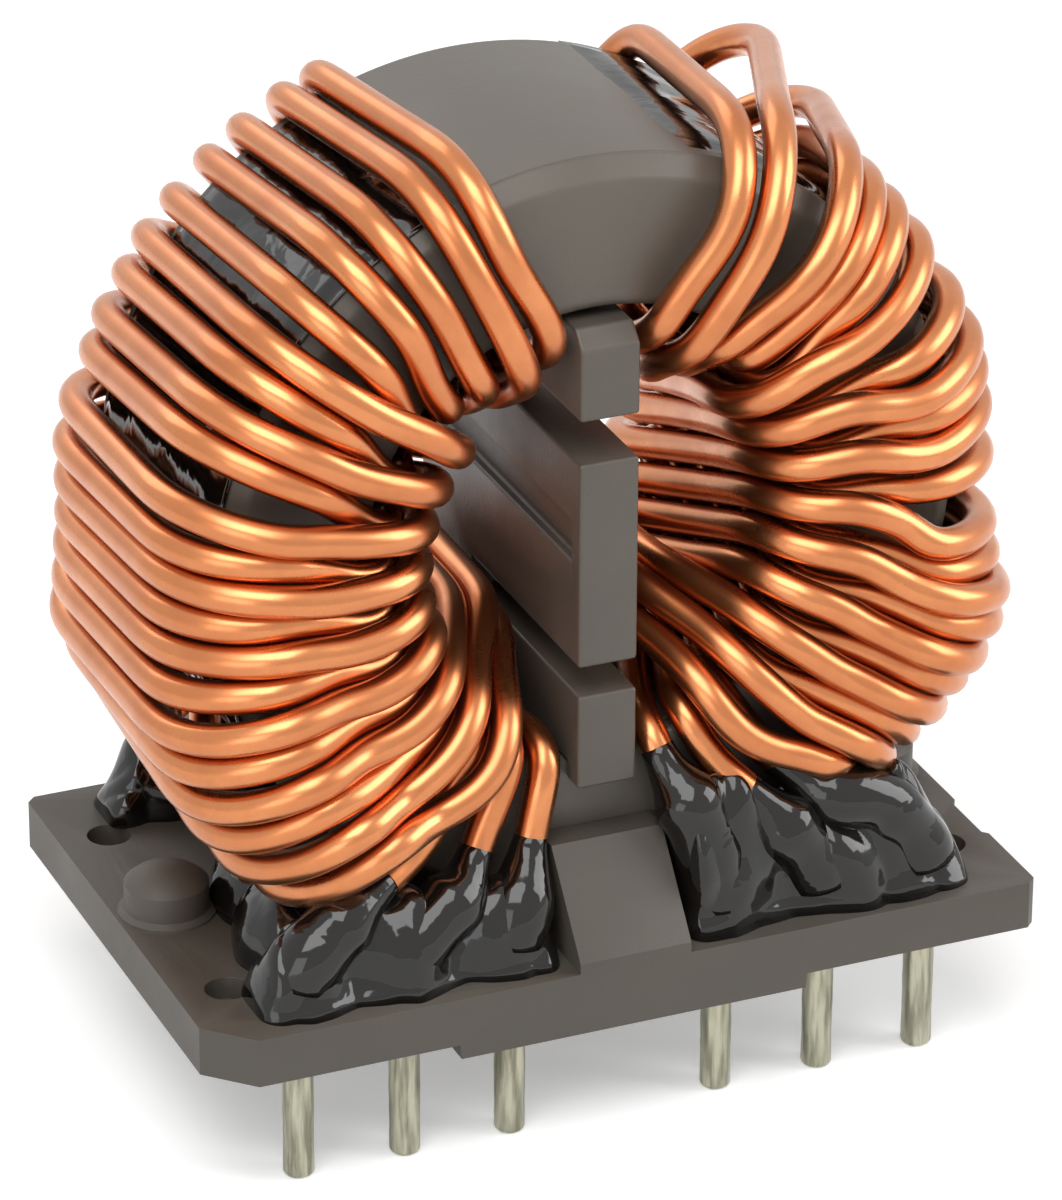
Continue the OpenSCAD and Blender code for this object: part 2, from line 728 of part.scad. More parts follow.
module back_right_pin_2() {
  color(tin) pin(1, 1, 1);
}

module back_right_pin_3() {
  color(tin) pin(1, 1, 2);
}

module front_left_resin() {
  color(black_resin) pool(-1, -1, left_pool_h, left_pool_shares);
}

module front_right_resin() {
  color(black_resin) pool(1, -1, right_pool_h, right_pool_shares);
}

module back_left_resin() {
  color(black_resin) pool(-1, 1, back_pool_h, back_pool_shares);
}

module back_right_resin() {
  color(black_resin) pool(1, 1, back_pool_h, back_pool_shares);
}

base_plate();
divider();
core_case_tray();
core_case_lid();
core_ring();
core_cushion();
left_strand_1();
left_strand_2();
left_strand_3();
right_strand_1();
right_strand_2();
right_strand_3();
front_left_pin_1();
front_left_pin_2();
front_left_pin_3();
front_right_pin_1();
front_right_pin_2();
front_right_pin_3();
back_left_pin_1();
back_left_pin_2();
back_left_pin_3();
back_right_pin_1();
back_right_pin_2();
back_right_pin_3();
front_left_resin();
front_right_resin();
back_left_resin();
back_right_resin();
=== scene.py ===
"""Dressed scene of an upright common mode choke on a pinned base plate.

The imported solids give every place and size. This script adds what the eye meets:
round wire with its bends, moulded edges, resin that ran over the wire ends, dipped
pins, and a material for each. Lengths inside the classes are in millimetres in the
row frame (X right, Y back, Z up, zero at the board plane) and become metres when a
mesh is made.
"""

from __future__ import annotations

import logging
import math
from dataclasses import dataclass, field
from enum import Enum

import bmesh
import bpy
import numpy as np
from mathutils import Matrix, Vector


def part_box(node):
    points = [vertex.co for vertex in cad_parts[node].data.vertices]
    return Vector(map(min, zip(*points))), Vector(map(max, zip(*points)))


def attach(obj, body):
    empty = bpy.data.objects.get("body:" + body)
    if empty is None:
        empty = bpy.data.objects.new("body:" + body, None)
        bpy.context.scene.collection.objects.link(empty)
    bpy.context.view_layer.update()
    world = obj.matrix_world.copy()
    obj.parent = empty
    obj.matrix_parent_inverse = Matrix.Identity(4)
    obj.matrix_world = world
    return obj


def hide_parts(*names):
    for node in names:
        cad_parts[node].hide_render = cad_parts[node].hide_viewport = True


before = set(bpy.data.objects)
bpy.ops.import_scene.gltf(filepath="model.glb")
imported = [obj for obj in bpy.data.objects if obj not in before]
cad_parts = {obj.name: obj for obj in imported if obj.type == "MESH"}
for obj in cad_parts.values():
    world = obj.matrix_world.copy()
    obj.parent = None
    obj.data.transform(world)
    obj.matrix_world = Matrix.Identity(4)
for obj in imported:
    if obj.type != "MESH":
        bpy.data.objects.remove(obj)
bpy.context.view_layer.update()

LOG = logging.getLogger("choke")
MM = 0.001
WHITE = (1.0, 1.0, 1.0, 1.0)
Triple = tuple[float, float, float]
Socket = bpy.types.NodeSocket


# -- Colours and nodes --


def linear(code: str) -> tuple[float, float, float, float]:
    """Turns an sRGB hex colour into the linear one that the shaders take.

    Args:
        code: six hex digits.

    Returns:
        Red, green, blue and an alpha of 1, each from 0 to 1.
    """
    parts = np.array([int(code[i : i + 2], 16) for i in (0, 2, 4)]) / 255.0
    flat = np.where(parts <= 0.04045, parts / 12.92, ((parts + 0.055) / 1.055) ** 2.4)
    return (float(flat[0]), float(flat[1]), float(flat[2]), 1.0)


def add_node(
    tree: bpy.types.NodeTree, kind: str, inputs: dict | None = None, **settings
) -> bpy.types.Node:
    """Adds one node with its settings, values and links.

    Args:
        tree: node tree that gets the node.
        kind: the node's type name.
        inputs: socket name or number to a value, or to the socket that feeds it.
        **settings: properties of the node.

    Returns:
        The new node.
    """
    node = tree.nodes.new(kind)
    for key, value in settings.items():
        setattr(node, key, value)
    for key, value in (inputs or {}).items():
        if isinstance(value, Socket):
            tree.links.new(value, node.inputs[key])
        else:
            node.inputs[key].default_value = value
    return node


def clean_tree(
    owner: bpy.types.Material | bpy.types.World, output: str
) -> tuple[bpy.types.NodeTree, Socket]:
    """Empties a material's or a world's nodes and adds its output.

    Args:
        owner: the material or world.
        output: type name of the output node.

    Returns:
        The node tree and the output's Surface socket.
    """
    owner.use_nodes = True
    tree = owner.node_tree
    tree.nodes.clear()
    return tree, add_node(tree, output).inputs["Surface"]


@dataclass(frozen=True)
class Patterns:
    """Nodes of one material, with the steps that its patterns are made of."""

    tree: bpy.types.NodeTree
    shader: bpy.types.Node

    def place(self) -> Socket:
        """The piece's own coordinates, in metres."""
        return add_node(self.tree, "ShaderNodeTexCoord").outputs["Object"]

    def stretched(self, vector: Socket, scale: Triple) -> Socket:
        """Coordinates multiplied by a scale along each axis."""
        inputs = {"Vector": vector, "Scale": scale}
        return add_node(self.tree, "ShaderNodeMapping", inputs).outputs[0]

    def noise(self, vector: Socket, scale: float, detail: float, **more: float) -> Socket:
        """Uneven field, mostly from 0.3 to 0.7.

        Args:
            vector: coordinates that it follows.
            scale: waves in one unit of the coordinates.
            detail: number of finer layers.
            **more: further values, by the name of their socket.

        Returns:
            The field.
        """
        inputs = {"Vector": vector, "Scale": scale, "Detail": detail} | more
        return add_node(self.tree, "ShaderNodeTexNoise", inputs).outputs[0]

    def carried(
        self, value: Socket, low: float, high: float, to_low: float = 0.0, to_high: float = 1.0
    ) -> Socket:
        """Value carried from the range low to high into another, and held in it."""
        inputs = {"Value": value, "From Min": low, "From Max": high}
        inputs |= {"To Min": to_low, "To Max": to_high}
        return add_node(self.tree, "ShaderNodeMapRange", inputs).outputs[0]

    def colour(self, share: Socket, first: str, second: str) -> None:
        """Mixes two sRGB colours by a share for the shader."""
        inputs = {0: share, 6: linear(first), 7: linear(second)}
        mixed = add_node(self.tree, "ShaderNodeMix", inputs, data_type="RGBA")
        self.tree.links.new(mixed.outputs[2], self.shader.inputs["Base Color"])

    def gloss(self, value: Socket, low: float, high: float) -> None:
        """Lets a noise move the shader's roughness from low to high."""
        rough = self.carried(value, 0.3, 0.7, low, high)
        self.tree.links.new(rough, self.shader.inputs["Roughness"])

    def relief(self, height: Socket, depth_mm: float, strength: float) -> None:
        """Lets a field raise the shader's surface by a depth in millimetres."""
        inputs = {"Height": height, "Distance": depth_mm * MM, "Strength": strength}
        bump = add_node(self.tree, "ShaderNodeBump", inputs)
        self.tree.links.new(bump.outputs[0], self.shader.inputs["Normal"])


@dataclass(frozen=True)
class Finish:
    """A material: its name, its colour and how the surface was made."""

    name: str
    colour: str
    roughness: float

    def shader_values(self) -> dict:
        """Values for the shader's own sockets."""
        return {"Base Color": linear(self.colour), "Roughness": self.roughness}

    def dress(self, on: Patterns) -> None:
        """Adds the finish's patterns to the shader; the plain finish has none."""

    def material(self) -> bpy.types.Material:
        """Builds the material, or returns it if it's there already."""
        found = bpy.data.materials.get(self.name)
        if found is not None:
            return found
        made = bpy.data.materials.new(self.name)
        tree, out = clean_tree(made, "ShaderNodeOutputMaterial")
        shader = add_node(tree, "ShaderNodeBsdfPrincipled", self.shader_values())
        tree.links.new(shader.outputs[0], out)
        self.dress(Patterns(tree, shader))
        return made


@dataclass(frozen=True)
class MouldedPlastic(Finish):
    """Glass-filled polyester or phenolic moulding, pressed against a spark-eroded tool.

    The tool leaves a fine matt grain, and handling rubs it into soft lighter and
    darker clouds a few millimetres wide.
    """

    worn: str = "8A847C"
    cloud_mm: float = 6.0
    grain_mm: float = 0.22
    grain_depth_mm: float = 0.012
    speckle: float = 0.25

    def dress(self, on: Patterns) -> None:
        """Clouds in the colour, an uneven gloss and a fine grain in the surface."""
        place = on.place()
        cloud = on.noise(place, 1.0 / (self.cloud_mm * MM), 4.0, Roughness=0.6)
        # The real grain is about 0.05 mm; it's drawn coarser so that it shows.
        grain = on.noise(place, 1.0 / (self.grain_mm * MM), 3.0, Roughness=0.55)
        on.colour(on.carried(cloud, 0.42, 0.72, 0.0, self.speckle), self.colour, self.worn)
        on.gloss(cloud, self.roughness - 0.06, self.roughness + 0.08)
        on.relief(grain, self.grain_depth_mm, 1.0)


@dataclass(frozen=True)
class EnamelledCopper(Finish):
    """Round copper wire drawn smooth and coated with clear orange-brown enamel.

    The metal gives long soft highlights in its own colour, the enamel a thin
    sharp gloss over them, and the drawing faint lines along the wire.
    """

    deep: str = "A0532B"
    blotch_mm: float = 5.0
    line_mm: float = 0.35
    line_depth_mm: float = 0.006

    def shader_values(self) -> dict:
        """Metal under a clear coat."""
        coat = {"Coat Weight": 0.2, "Coat Roughness": 0.07, "Coat IOR": 1.55}
        return super().shader_values() | {"Metallic": 1.0} | coat

    def dress(self, on: Patterns) -> None:
        """Darker blotches where the enamel lies thicker, and drawing lines."""
        blotch = on.noise(on.place(), 1.0 / (self.blotch_mm * MM), 5.0, Roughness=0.65)
        on.colour(on.carried(blotch, 0.35, 0.75, 0.0, 0.5), self.colour, self.deep)
        # UV runs in millimetres: along the wire in U, around it in V.
        along = add_node(on.tree, "ShaderNodeUVMap", uv_map="along").outputs[0]
        run = on.stretched(along, (0.04 / self.line_mm, 1.0 / self.line_mm, 1.0))
        on.relief(on.noise(run, 1.0, 3.0), self.line_depth_mm, 0.6)
        on.gloss(blotch, self.roughness - 0.04, self.roughness + 0.07)


@dataclass(frozen=True)
class DippedTin(Finish):
    """Copper pin dipped in tin solder: dull silver with streaks that ran down it."""

    streak: str = "7E7D6C"
    streak_mm: float = 0.3
    streak_depth_mm: float = 0.02

    def shader_values(self) -> dict:
        """Soft metal."""
        return super().shader_values() | {"Metallic": 1.0}

    def dress(self, on: Patterns) -> None:
        """Streaks down the pin in colour and height, ten times as long as wide."""
        across, down = 1.0 / self.streak_mm / MM, 0.1 / self.streak_mm / MM
        streaks = on.noise(on.stretched(on.place(), (across, across, down)), 1.0, 4.0)
        on.colour(on.carried(streaks, 0.4, 0.65), self.colour, self.streak)
        on.relief(streaks, self.streak_depth_mm, 0.8)


@dataclass(frozen=True)
class PottingResin(Finish):
    """Black epoxy resin that was brushed on and set with a wet gloss."""

    ripple_mm: float = 1.7
    ripple_depth_mm: float = 0.09

    def dress(self, on: Patterns) -> None:
        """Shallow ripples that bend the reflections."""
        waves = on.noise(on.place(), 1.0 / (self.ripple_mm * MM), 2.0, Distortion=0.6)
        on.relief(waves, self.ripple_depth_mm, 0.7)


CASE = MouldedPlastic(
    "moulded_polyester_case", "5A544C", 0.42, worn="6D665D", cloud_mm=9.0, speckle=0.35
)
DIVIDER = MouldedPlastic(
    "moulded_polyester_divider", "504A43", 0.4, worn="655E56", cloud_mm=5.0, speckle=0.3
)
PLATE = MouldedPlastic(
    "moulded_phenolic_plate", "48433C", 0.5, worn="5A544C", cloud_mm=7.0, speckle=0.35
)
COPPER = EnamelledCopper("enamelled_copper_wire", "CF8555", 0.28)
TIN = DippedTin("solder_dipped_pin", "B2B09C", 0.36)
RESIN = PottingResin("black_epoxy_resin", "14110F", 0.08)
CORE = Finish("wound_tape_core", "8C8E94", 0.45)
FOAM = Finish("soft_foam_ring", "D8D6CC", 0.9)


# -- Surfaces --


def grid_faces(rows: int, columns: int, close_rows: bool, close_columns: bool) -> np.ndarray:
    """Quads of a grid of points, as whole arrays.

    Args:
        rows: points along the first parameter.
        columns: points along the second parameter.
        close_rows: whether the last row joins the first.
        close_columns: whether the last column joins the first.

    Returns:
        Array of faces with four corner numbers each.
    """
    i = np.arange(rows if close_rows else rows - 1)[:, None]
    j = np.arange(columns if close_columns else columns - 1)[None, :]
    i2, j2 = (i + 1) % rows, (j + 1) % columns
    corners = [i * columns + j, i2 * columns + j, i2 * columns + j2, i * columns + j2]
    return np.stack([c.ravel() for c in np.broadcast_arrays(*corners)], axis=1)


def surface(
    name: str,
    points: np.ndarray,
    close_rows: bool = False,
    close_columns: bool = True,
    cap_ends: bool = False,
    uv: np.ndarray | None = None,
) -> bpy.types.Object:
    """Makes a piece from a grid of points in millimetres; a closed one faces outwards.

    Args:
        name: the piece's name.
        points: array of rows, columns and three coordinates.
        close_rows: whether the last row joins the first.
        close_columns: whether the last column joins the first.
        cap_ends: whether the first and last row are closed by a fan to their middle.
        uv: array of rows and columns plus one with the two UV values of each point,
            used where the surface closes along its columns.

    Returns:
        The new object, at the origin.
    """
    rows, columns = points.shape[:2]
    faces = grid_faces(rows, columns, close_rows, close_columns)
    flat = points.reshape(-1, 3)
    triangles = np.zeros((0, 3), int)
    if cap_ends:
        j = np.arange(columns)
        first, last = len(flat), len(flat) + 1
        flat = np.concatenate([flat, points[0].mean(0)[None], points[-1].mean(0)[None]])
        low = np.stack([np.full(columns, first), j, (j + 1) % columns], axis=1)
        base = (rows - 1) * columns
        high = np.stack([np.full(columns, last), base + (j + 1) % columns, base + j], axis=1)
        triangles = np.concatenate([low, high])
    mesh = bpy.data.meshes.new(name)
    mesh.vertices.add(len(flat))
    mesh.vertices.foreach_set("co", (flat * MM).astype(np.float32).ravel())
    loops = np.concatenate([faces.ravel(), triangles.ravel()])
    mesh.loops.add(len(loops))
    mesh.loops.foreach_set("vertex_index", loops.astype(np.int32))
    fans = len(faces) * 4 + np.arange(len(triangles)) * 3
    starts = np.concatenate([np.arange(len(faces)) * 4, fans])
    mesh.polygons.add(len(starts))
    mesh.polygons.foreach_set("loop_start", starts.astype(np.int32))
    mesh.polygons.foreach_set("use_smooth", np.ones(len(starts), bool))
    if uv is not None:
        i = np.arange(rows - 1)[:, None]
        j = np.arange(columns)[None, :]
        picks = (np.broadcast_arrays(i + a, j + b) for a, b in ((0, 0), (1, 0), (1, 1), (0, 1)))
        spread = np.stack([uv[a, b].reshape(-1, 2) for a, b in picks], axis=1)
        values = np.concatenate([spread.reshape(-1, 2), np.zeros((triangles.size, 2))])
        layer = mesh.uv_layers.new(name="along")
        layer.data.foreach_set("uv", values.astype(np.float32).ravel())
    mesh.update(calc_edges=True)
    mesh.validate()
    piece = bpy.data.objects.new(name, mesh)
    bpy.context.scene.collection.objects.link(piece)
    if cap_ends or close_rows:
        outward(piece)
    return piece


def outward(piece: bpy.types.Object) -> None:
    """Turns every face of a closed piece outwards."""
    work = bmesh.new()
    work.from_mesh(piece.data)
    bmesh.ops.recalc_face_normals(work, faces=work.faces)
    work.to_mesh(piece.data)
    work.free()


def settle(piece: bpy.types.Object, finish: Finish, slot: str, *nodes: str) -> bpy.types.Object:
    """Gives a piece its material and body, and hides the solids that it stands for.

    Args:
        piece: the finished object.
        finish: its finish.
        slot: the record's material slot; not used.
        *nodes: the solids that it replaces.

    Returns:
        The same object.
    """
    piece.data.materials.clear()
    piece.data.materials.append(finish.material())
    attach(piece, "root")
    if nodes:
        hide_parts(*nodes)
    LOG.info("%s: %d vertices", piece.name, len(piece.data.vertices))
    return piece


def rounded_copy(node: str, name: str, width_mm: float, segments: int = 3) -> bpy.types.Object:
    """Copies a solid, merges its loose triangles and rounds its sharp edges.

    Points closer than 0.002 mm become one, faces within half a degree of each other
    become one, and edges sharper than 28 degrees are rounded.

    Args:
        node: the solid's name.
        name: the piece's name.
        width_mm: width of the rounding.
        segments: faces across the rounding.

    Returns:
        The new object, at the origin.
    """
    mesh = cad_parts[node].data.copy()
    mesh.name = name
    work = bmesh.new()
    work.from_mesh(mesh)
    bmesh.ops.remove_doubles(work, verts=work.verts, dist=0.002 * MM)
    bmesh.ops.dissolve_limit(
        work,
        angle_limit=math.radians(0.5),
        verts=work.verts,
        edges=work.edges,
        delimit={"NORMAL"},
    )
    work.to_mesh(mesh)
    work.free()
    piece = bpy.data.objects.new(name, mesh)
    bpy.context.scene.collection.objects.link(piece)
    bevel = piece.modifiers.new("rounding", "BEVEL")
    bevel.width = width_mm * MM
    bevel.segments = segments
    bevel.limit_method = "ANGLE"
    bevel.angle_limit = math.radians(28)
    bevel.harden_normals = True
    bevel.use_clamp_overlap = True
    mesh.polygons.foreach_set("use_smooth", np.ones(len(mesh.polygons), bool))
    return piece


def revolve(
    name: str, profile: np.ndarray, centre_z: float, steps: int = 256
) -> bpy.types.Object:
    """Turns a closed profile about the ring's axis.

    A point of radius r and depth y at angle a from the top lies at
    (r sin a, y, centre + r cos a).

    Args:
        name: the piece's name.
        profile: closed outline as radius and depth, in millimetres.
        centre_z: height of the axis.
        steps: copies of the profile round the turn.

    Returns:
        The new object.
    """
    a = np.linspace(0, 2 * np.pi, steps, endpoint=False)[:, None]
    r, y = profile[None, :, 0], profile[None, :, 1]
    points = np.stack([r * np.sin(a), y + 0 * a, centre_z + r * np.cos(a)], axis=2)
    return surface(name, points, close_rows=True)


def rounded_outline(corners: list[Triple], steps: int = 6) -> np.ndarray:
    """Outline through corners, each cut round with its own radius.

    The rounding starts and ends on the two edges, one radius from the corner, and is
    the quadratic blend of those two points through the corner:
    (1 - t)^2 first + 2 t (1 - t) corner + t^2 last, for t from 0 to 1.

    Args:
        corners: x, y and radius of each corner.
        steps: points on each rounding.

    Returns:
        The closed outline's points.
    """
    c = np.array(corners)

    def touch(other: np.ndarray) -> np.ndarray:
        """Ends of the roundings on the edges towards the other corners."""
        d = other[:, :2] - c[:, :2]
        length = np.linalg.norm(d, axis=1, keepdims=True)
        return c[:, :2] + d / length * np.minimum(c[:, 2:3], 0.49 * length)

    t = np.linspace(0, 1, steps)[None, :, None]
    first, last = (touch(np.roll(c, by, axis=0))[:, None] for by in (1, -1))
    blend = (1 - t) ** 2 * first + 2 * t * (1 - t) * c[:, None, :2] + t**2 * last
    return blend.reshape(-1, 2)


# -- Sizes that the pieces share --


class Side(Enum):
    """Half of the part, with the sign of its X."""

    LEFT = -1
    RIGHT = 1


class Row(Enum):
    """Pin row, with the sign of its Y."""

    FRONT = -1
    BACK = 1


def box_mm(node: str) -> tuple[np.ndarray, np.ndarray]:
    """Low and high corner of a solid's box, in millimetres."""
    low, high = (np.array(corner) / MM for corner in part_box(node))
    return low, high


@dataclass
class Layout:
    """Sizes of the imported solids, in millimetres.

    The plate's top and the hole's radius, which no box shows, are given here.
    """

    plate_top: float = 3.0
    pin_row_y: float = 10.0
    pin_pitch: float = 5.0
    pin_top: float = 3.4
    pin_tip: float = -5.5
    case_outer: float = 17.4
    case_inner: float = 10.7
    case_half: float = 7.6
    lid_face: float = 6.6
    ring_z: float = 21.6
    divider_half: float = 1.38

    @classmethod
    def from_frame(cls) -> "Layout":
        """Takes the sizes from the boxes of the solids."""
        low, high = box_mm("core_case_tray")
        pin_low, pin_high = box_mm("front_right_pin_3")
        bar_low, bar_high = box_mm("divider")
        made = cls(
            case_outer=float(high[0]),
            ring_z=float((low[2] + high[2]) / 2),
            case_half=float(high[1]),
            lid_face=float(-low[1]),
            pin_top=float(pin_high[2]),
            pin_tip=float(pin_low[2]),
            pin_pitch=float((pin_low[0] + pin_high[0]) / 2),
            pin_row_y=float(-(pin_low[1] + pin_high[1]) / 2),
            divider_half=float((bar_high[0] - bar_low[0]) / 2),
        )
        LOG.info("layout: %s", made)
        return made


# -- Moulded parts and pins --


@dataclass
class BasePlate:
    """Moulded plate with its ridges, bosses, recesses and pedestal."""

    edge_mm: float = 0.14

    def build(self) -> None:
        """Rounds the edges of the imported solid."""
        piece = rounded_copy("base_plate", "plate_moulding", self.edge_mm)
        settle(piece, PLATE, "plate", "base_plate")


@dataclass
class Divider:
    """Slotted bar across the hole of the ring."""

    edge_mm: float = 0.16

    def build(self) -> None:
        """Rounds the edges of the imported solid."""
        piece = rounded_copy("divider", "divider_bar", self.edge_mm)
        settle(piece, DIVIDER, "divider", "divider")


@dataclass
class CoreCase:
    """Two-part case round the core, with the core and its soft ring inside.

    The lid's rims stand in the mouth of the tray. Names that end in edge are radii of
    corners, and fit is the air between lid and tray.
    """

    layout: Layout
    wall: float = 0.9
    chamfer: float = 0.85
    rim_height: float = 0.64
    rim_width: float = 0.7
    fit: float = 0.06
    face_edge: float = 0.6
    parting_edge: float = 0.09
    mouth_edge: float = 0.03
    inside_edge: float = 0.3
    chamfer_edge: float = 0.22
    seat_edge: float = 0.02
    rim_edge: float = 0.05
    core_inner: float = 11.8
    core_edge: float = 0.3
    soft_inner: float = 12.48
    soft_edge: float = 0.2

    def tray(self) -> list[Triple]:
        """Corners of the tray's section: radius, depth and rounding."""
        at, w, m = self.layout, self.wall, self.mouth_edge
        ro, ri, h, face = at.case_outer, at.case_inner, at.case_half, at.lid_face
        return [
            (ri, h, self.face_edge),
            (ro, h, self.face_edge),
            (ro, -face, self.parting_edge),
            (ro - w, -face, m),
            (ro - w, h - w, self.inside_edge),
            (ri + w, h - w, self.inside_edge),
            (ri + w, -face, m),
            (ri, -face, self.parting_edge),
        ]

    def lid(self) -> list[Triple]:
        """Corners of the lid's section: radius, depth and rounding."""
        at, c = self.layout, self.chamfer
        ro, ri, h = at.case_outer, at.case_inner, at.case_half
        seat = -(at.lid_face + self.fit)
        top = seat + self.rim_height
        inner, outer = ri + self.wall + self.fit, ro - self.wall - self.fit
        corners = [(ri, seat, self.parting_edge)]
        for a, b in ((inner, inner + self.rim_width), (outer - self.rim_width, outer)):
            corners += [(a, seat, self.seat_edge), (a, top, self.rim_edge)]
            corners += [(b, top, self.rim_edge), (b, seat, self.seat_edge)]
        return corners + [
            (ro, seat, self.parting_edge),
            (ro, -h + c, self.chamfer_edge),
            (ro - c, -h, self.chamfer_edge),
            (ri, -h, self.face_edge),
        ]

    def build(self) -> None:
        """Builds the tray, the lid, the core and the soft ring."""
        z = self.layout.ring_z
        tray, lid = rounded_outline(self.tray()), rounded_outline(self.lid())
        settle(revolve("case_tray", tray, z), CASE, "case", "core_case_tray")
        settle(revolve("case_lid", lid, z), CASE, "case", "core_case_lid")
        for node, name, ri, edge, finish, slot in (
            ("core_ring", "tape_core", self.core_inner, self.core_edge, CORE, "core"),
            ("core_cushion", "foam_ring", self.soft_inner, self.soft_edge, FOAM, "cushion"),
        ):
            (_, y0, _), (ro, y1, _) = box_mm(node)
            corners = [(ri, y0, edge), (ro, y0, edge), (ro, y1, edge), (ri, y1, edge)]
            settle(revolve(name, rounded_outline(corners), z, 96), finish, slot, node)


@dataclass
class Pins:
    """Twelve stripped wire ends, dipped in solder below the plate."""

    layout: Layout
    radius: float = 0.7
    bare: float = 0.67
    nose: float = 0.26
    uneven: float = 0.006
    steps: int = 40

    def profile(self) -> np.ndarray:
        """Radius and height up the pin.

        A round tip, a shaft whose radius waves with the height as
        radius + 0.006 sin(2.1 z) + 0.004 sin(5.3 z + 0.7) - 0.006, and the bare end.
        """
        r, b, tip, top = self.radius, self.bare, self.layout.pin_tip, self.layout.pin_top
        a = np.linspace(0.0, np.pi / 2, 7)[1:]
        nose = np.stack(
            [r - self.nose * (1 - np.sin(a)), tip + self.nose * (1 - np.cos(a))], axis=1
        )
        z = np.linspace(tip + 0.5, -0.35, 22)
        waves = r + self.uneven * np.sin(2.1 * z) + 0.004 * np.sin(5.3 * z + 0.7) - self.uneven
        bare = [[r, -0.2], [r - 0.01, -0.08], [b, 0.02], [b, 1.5], [b, top - 0.05], [b - 0.05, top]]
        return np.concatenate([[[r - 0.3, tip]], nose, np.stack([waves, z], axis=1), bare])

    def build(self) -> None:
        """Builds every pin as its own piece: a profile turned about the pin's axis.

        A point of radius r at height z and angle a lies at
        (x + r cos a, y + r sin a, z); the radius swells by 0.006 mm with the angle,
        which keeps the solder from looking turned on a lathe.
        """
        at = self.layout
        profile = self.profile()
        z = profile[:, 1:]
        a = np.linspace(0, 2 * np.pi, self.steps, endpoint=False)[None, :]
        for row in Row:
            for side in Side:
                for number in (1, 2, 3):
                    seed = number + 3 * side.value + 7 * row.value
                    r = profile[:, :1] + self.uneven * np.sin(2 * a + seed + 1.3 * z) - self.uneven
                    x = side.value * at.pin_pitch * (4 - number)
                    y = row.value * at.pin_row_y
                    points = np.stack([x + r * np.cos(a), y + r * np.sin(a), z + 0 * a], axis=2)
                    stem = f"{row.name.lower()}_{side.name.lower()}_pin_{number}"
                    settle(surface(f"dipped_{stem}", points, cap_ends=True), TIN, "pin", stem)


# -- Windings --


def distances(points: np.ndarray) -> np.ndarray:
    """Distance of each point from the first, measured along the path."""
    steps = np.linalg.norm(np.diff(points, axis=0), axis=1)
    return np.concatenate([[0.0], np.cumsum(steps)])


def resample(points: np.ndarray, step: float) -> np.ndarray:
    """Points at even distances along a path.

    Args:
        points: the path's points.
        step: wished distance between the new points.

    Returns:
        The new points, with both ends kept.
    """
    along = distances(points)
    count = max(2, int(round(along[-1] / step)) + 1)
    at = np.linspace(0, along[-1], count)
    return np.stack([np.interp(at, along, points[:, k]) for k in range(3)], axis=1)


def smooth(points: np.ndarray, rounds: int, share: float = 0.5) -> np.ndarray:
    """Moves each inner point towards the middle of its neighbours.

    Args:
        points: the path's points.
        rounds: how often.
        share: part of the way that a point moves each time.

    Returns:
        The smoothed points, with both ends kept.
    """
    p = points.copy()
    for _ in range(rounds):
        p[1:-1] += share * ((p[:-2] + p[2:]) / 2 - p[1:-1])
    return p


def bent_tube(
    name: str, path: np.ndarray, radius: float | np.ndarray, sides: int = 18
) -> bpy.types.Object:
    """Round wire along a path.

    Each ring of points lies square to the path. The side direction is carried along
    the path without twist: it starts square to the first tangent, and at each ring
    the part of it along the new tangent is taken away.

    Args:
        name: the piece's name.
        path: centre line in millimetres.
        radius: wire radius, one for all or one for each point of the path.
        sides: points round the wire.

    Returns:
        The new object, with a UV map in millimetres along and around the wire.
    """
    tangent = np.gradient(path, axis=0)
    tangent /= np.linalg.norm(tangent, axis=1, keepdims=True)
    side = np.zeros_like(path)
    seed = np.cross(tangent[0], [0.3, 0.2, 1.0])
    side[0] = seed / np.linalg.norm(seed)
    for i in range(1, len(path)):
        carried = side[i - 1] - (side[i - 1] @ tangent[i]) * tangent[i]
        side[i] = carried / np.linalg.norm(carried)
    third = np.cross(tangent, side)
    a = np.linspace(0, 2 * np.pi, sides, endpoint=False)
    ring = np.cos(a)[None, :, None] * side[:, None] + np.sin(a)[None, :, None] * third[:, None]
    radii = np.broadcast_to(radius, len(path))
    points = path[:, None] + radii[:, None, None] * ring
    around = np.arange(sides + 1) * (2 * np.pi * radii.mean() / sides)
    uv = np.stack(np.broadcast_arrays(distances(path)[:, None], around[None, :]), axis=2)
    # The ends close with a small round edge: two more rings, each narrower.
    first = path[0] - 0.08 * tangent[0] + 0.85 * radii[0] * ring[0]
    last = path[-1] + 0.08 * tangent[-1] + 0.85 * radii[-1] * ring[-1]
    points = np.concatenate([first[None], points, last[None]])
    uv = np.concatenate([uv[:1], uv, uv[-1:]])
    return surface(name, points, cap_ends=True, uv=uv)


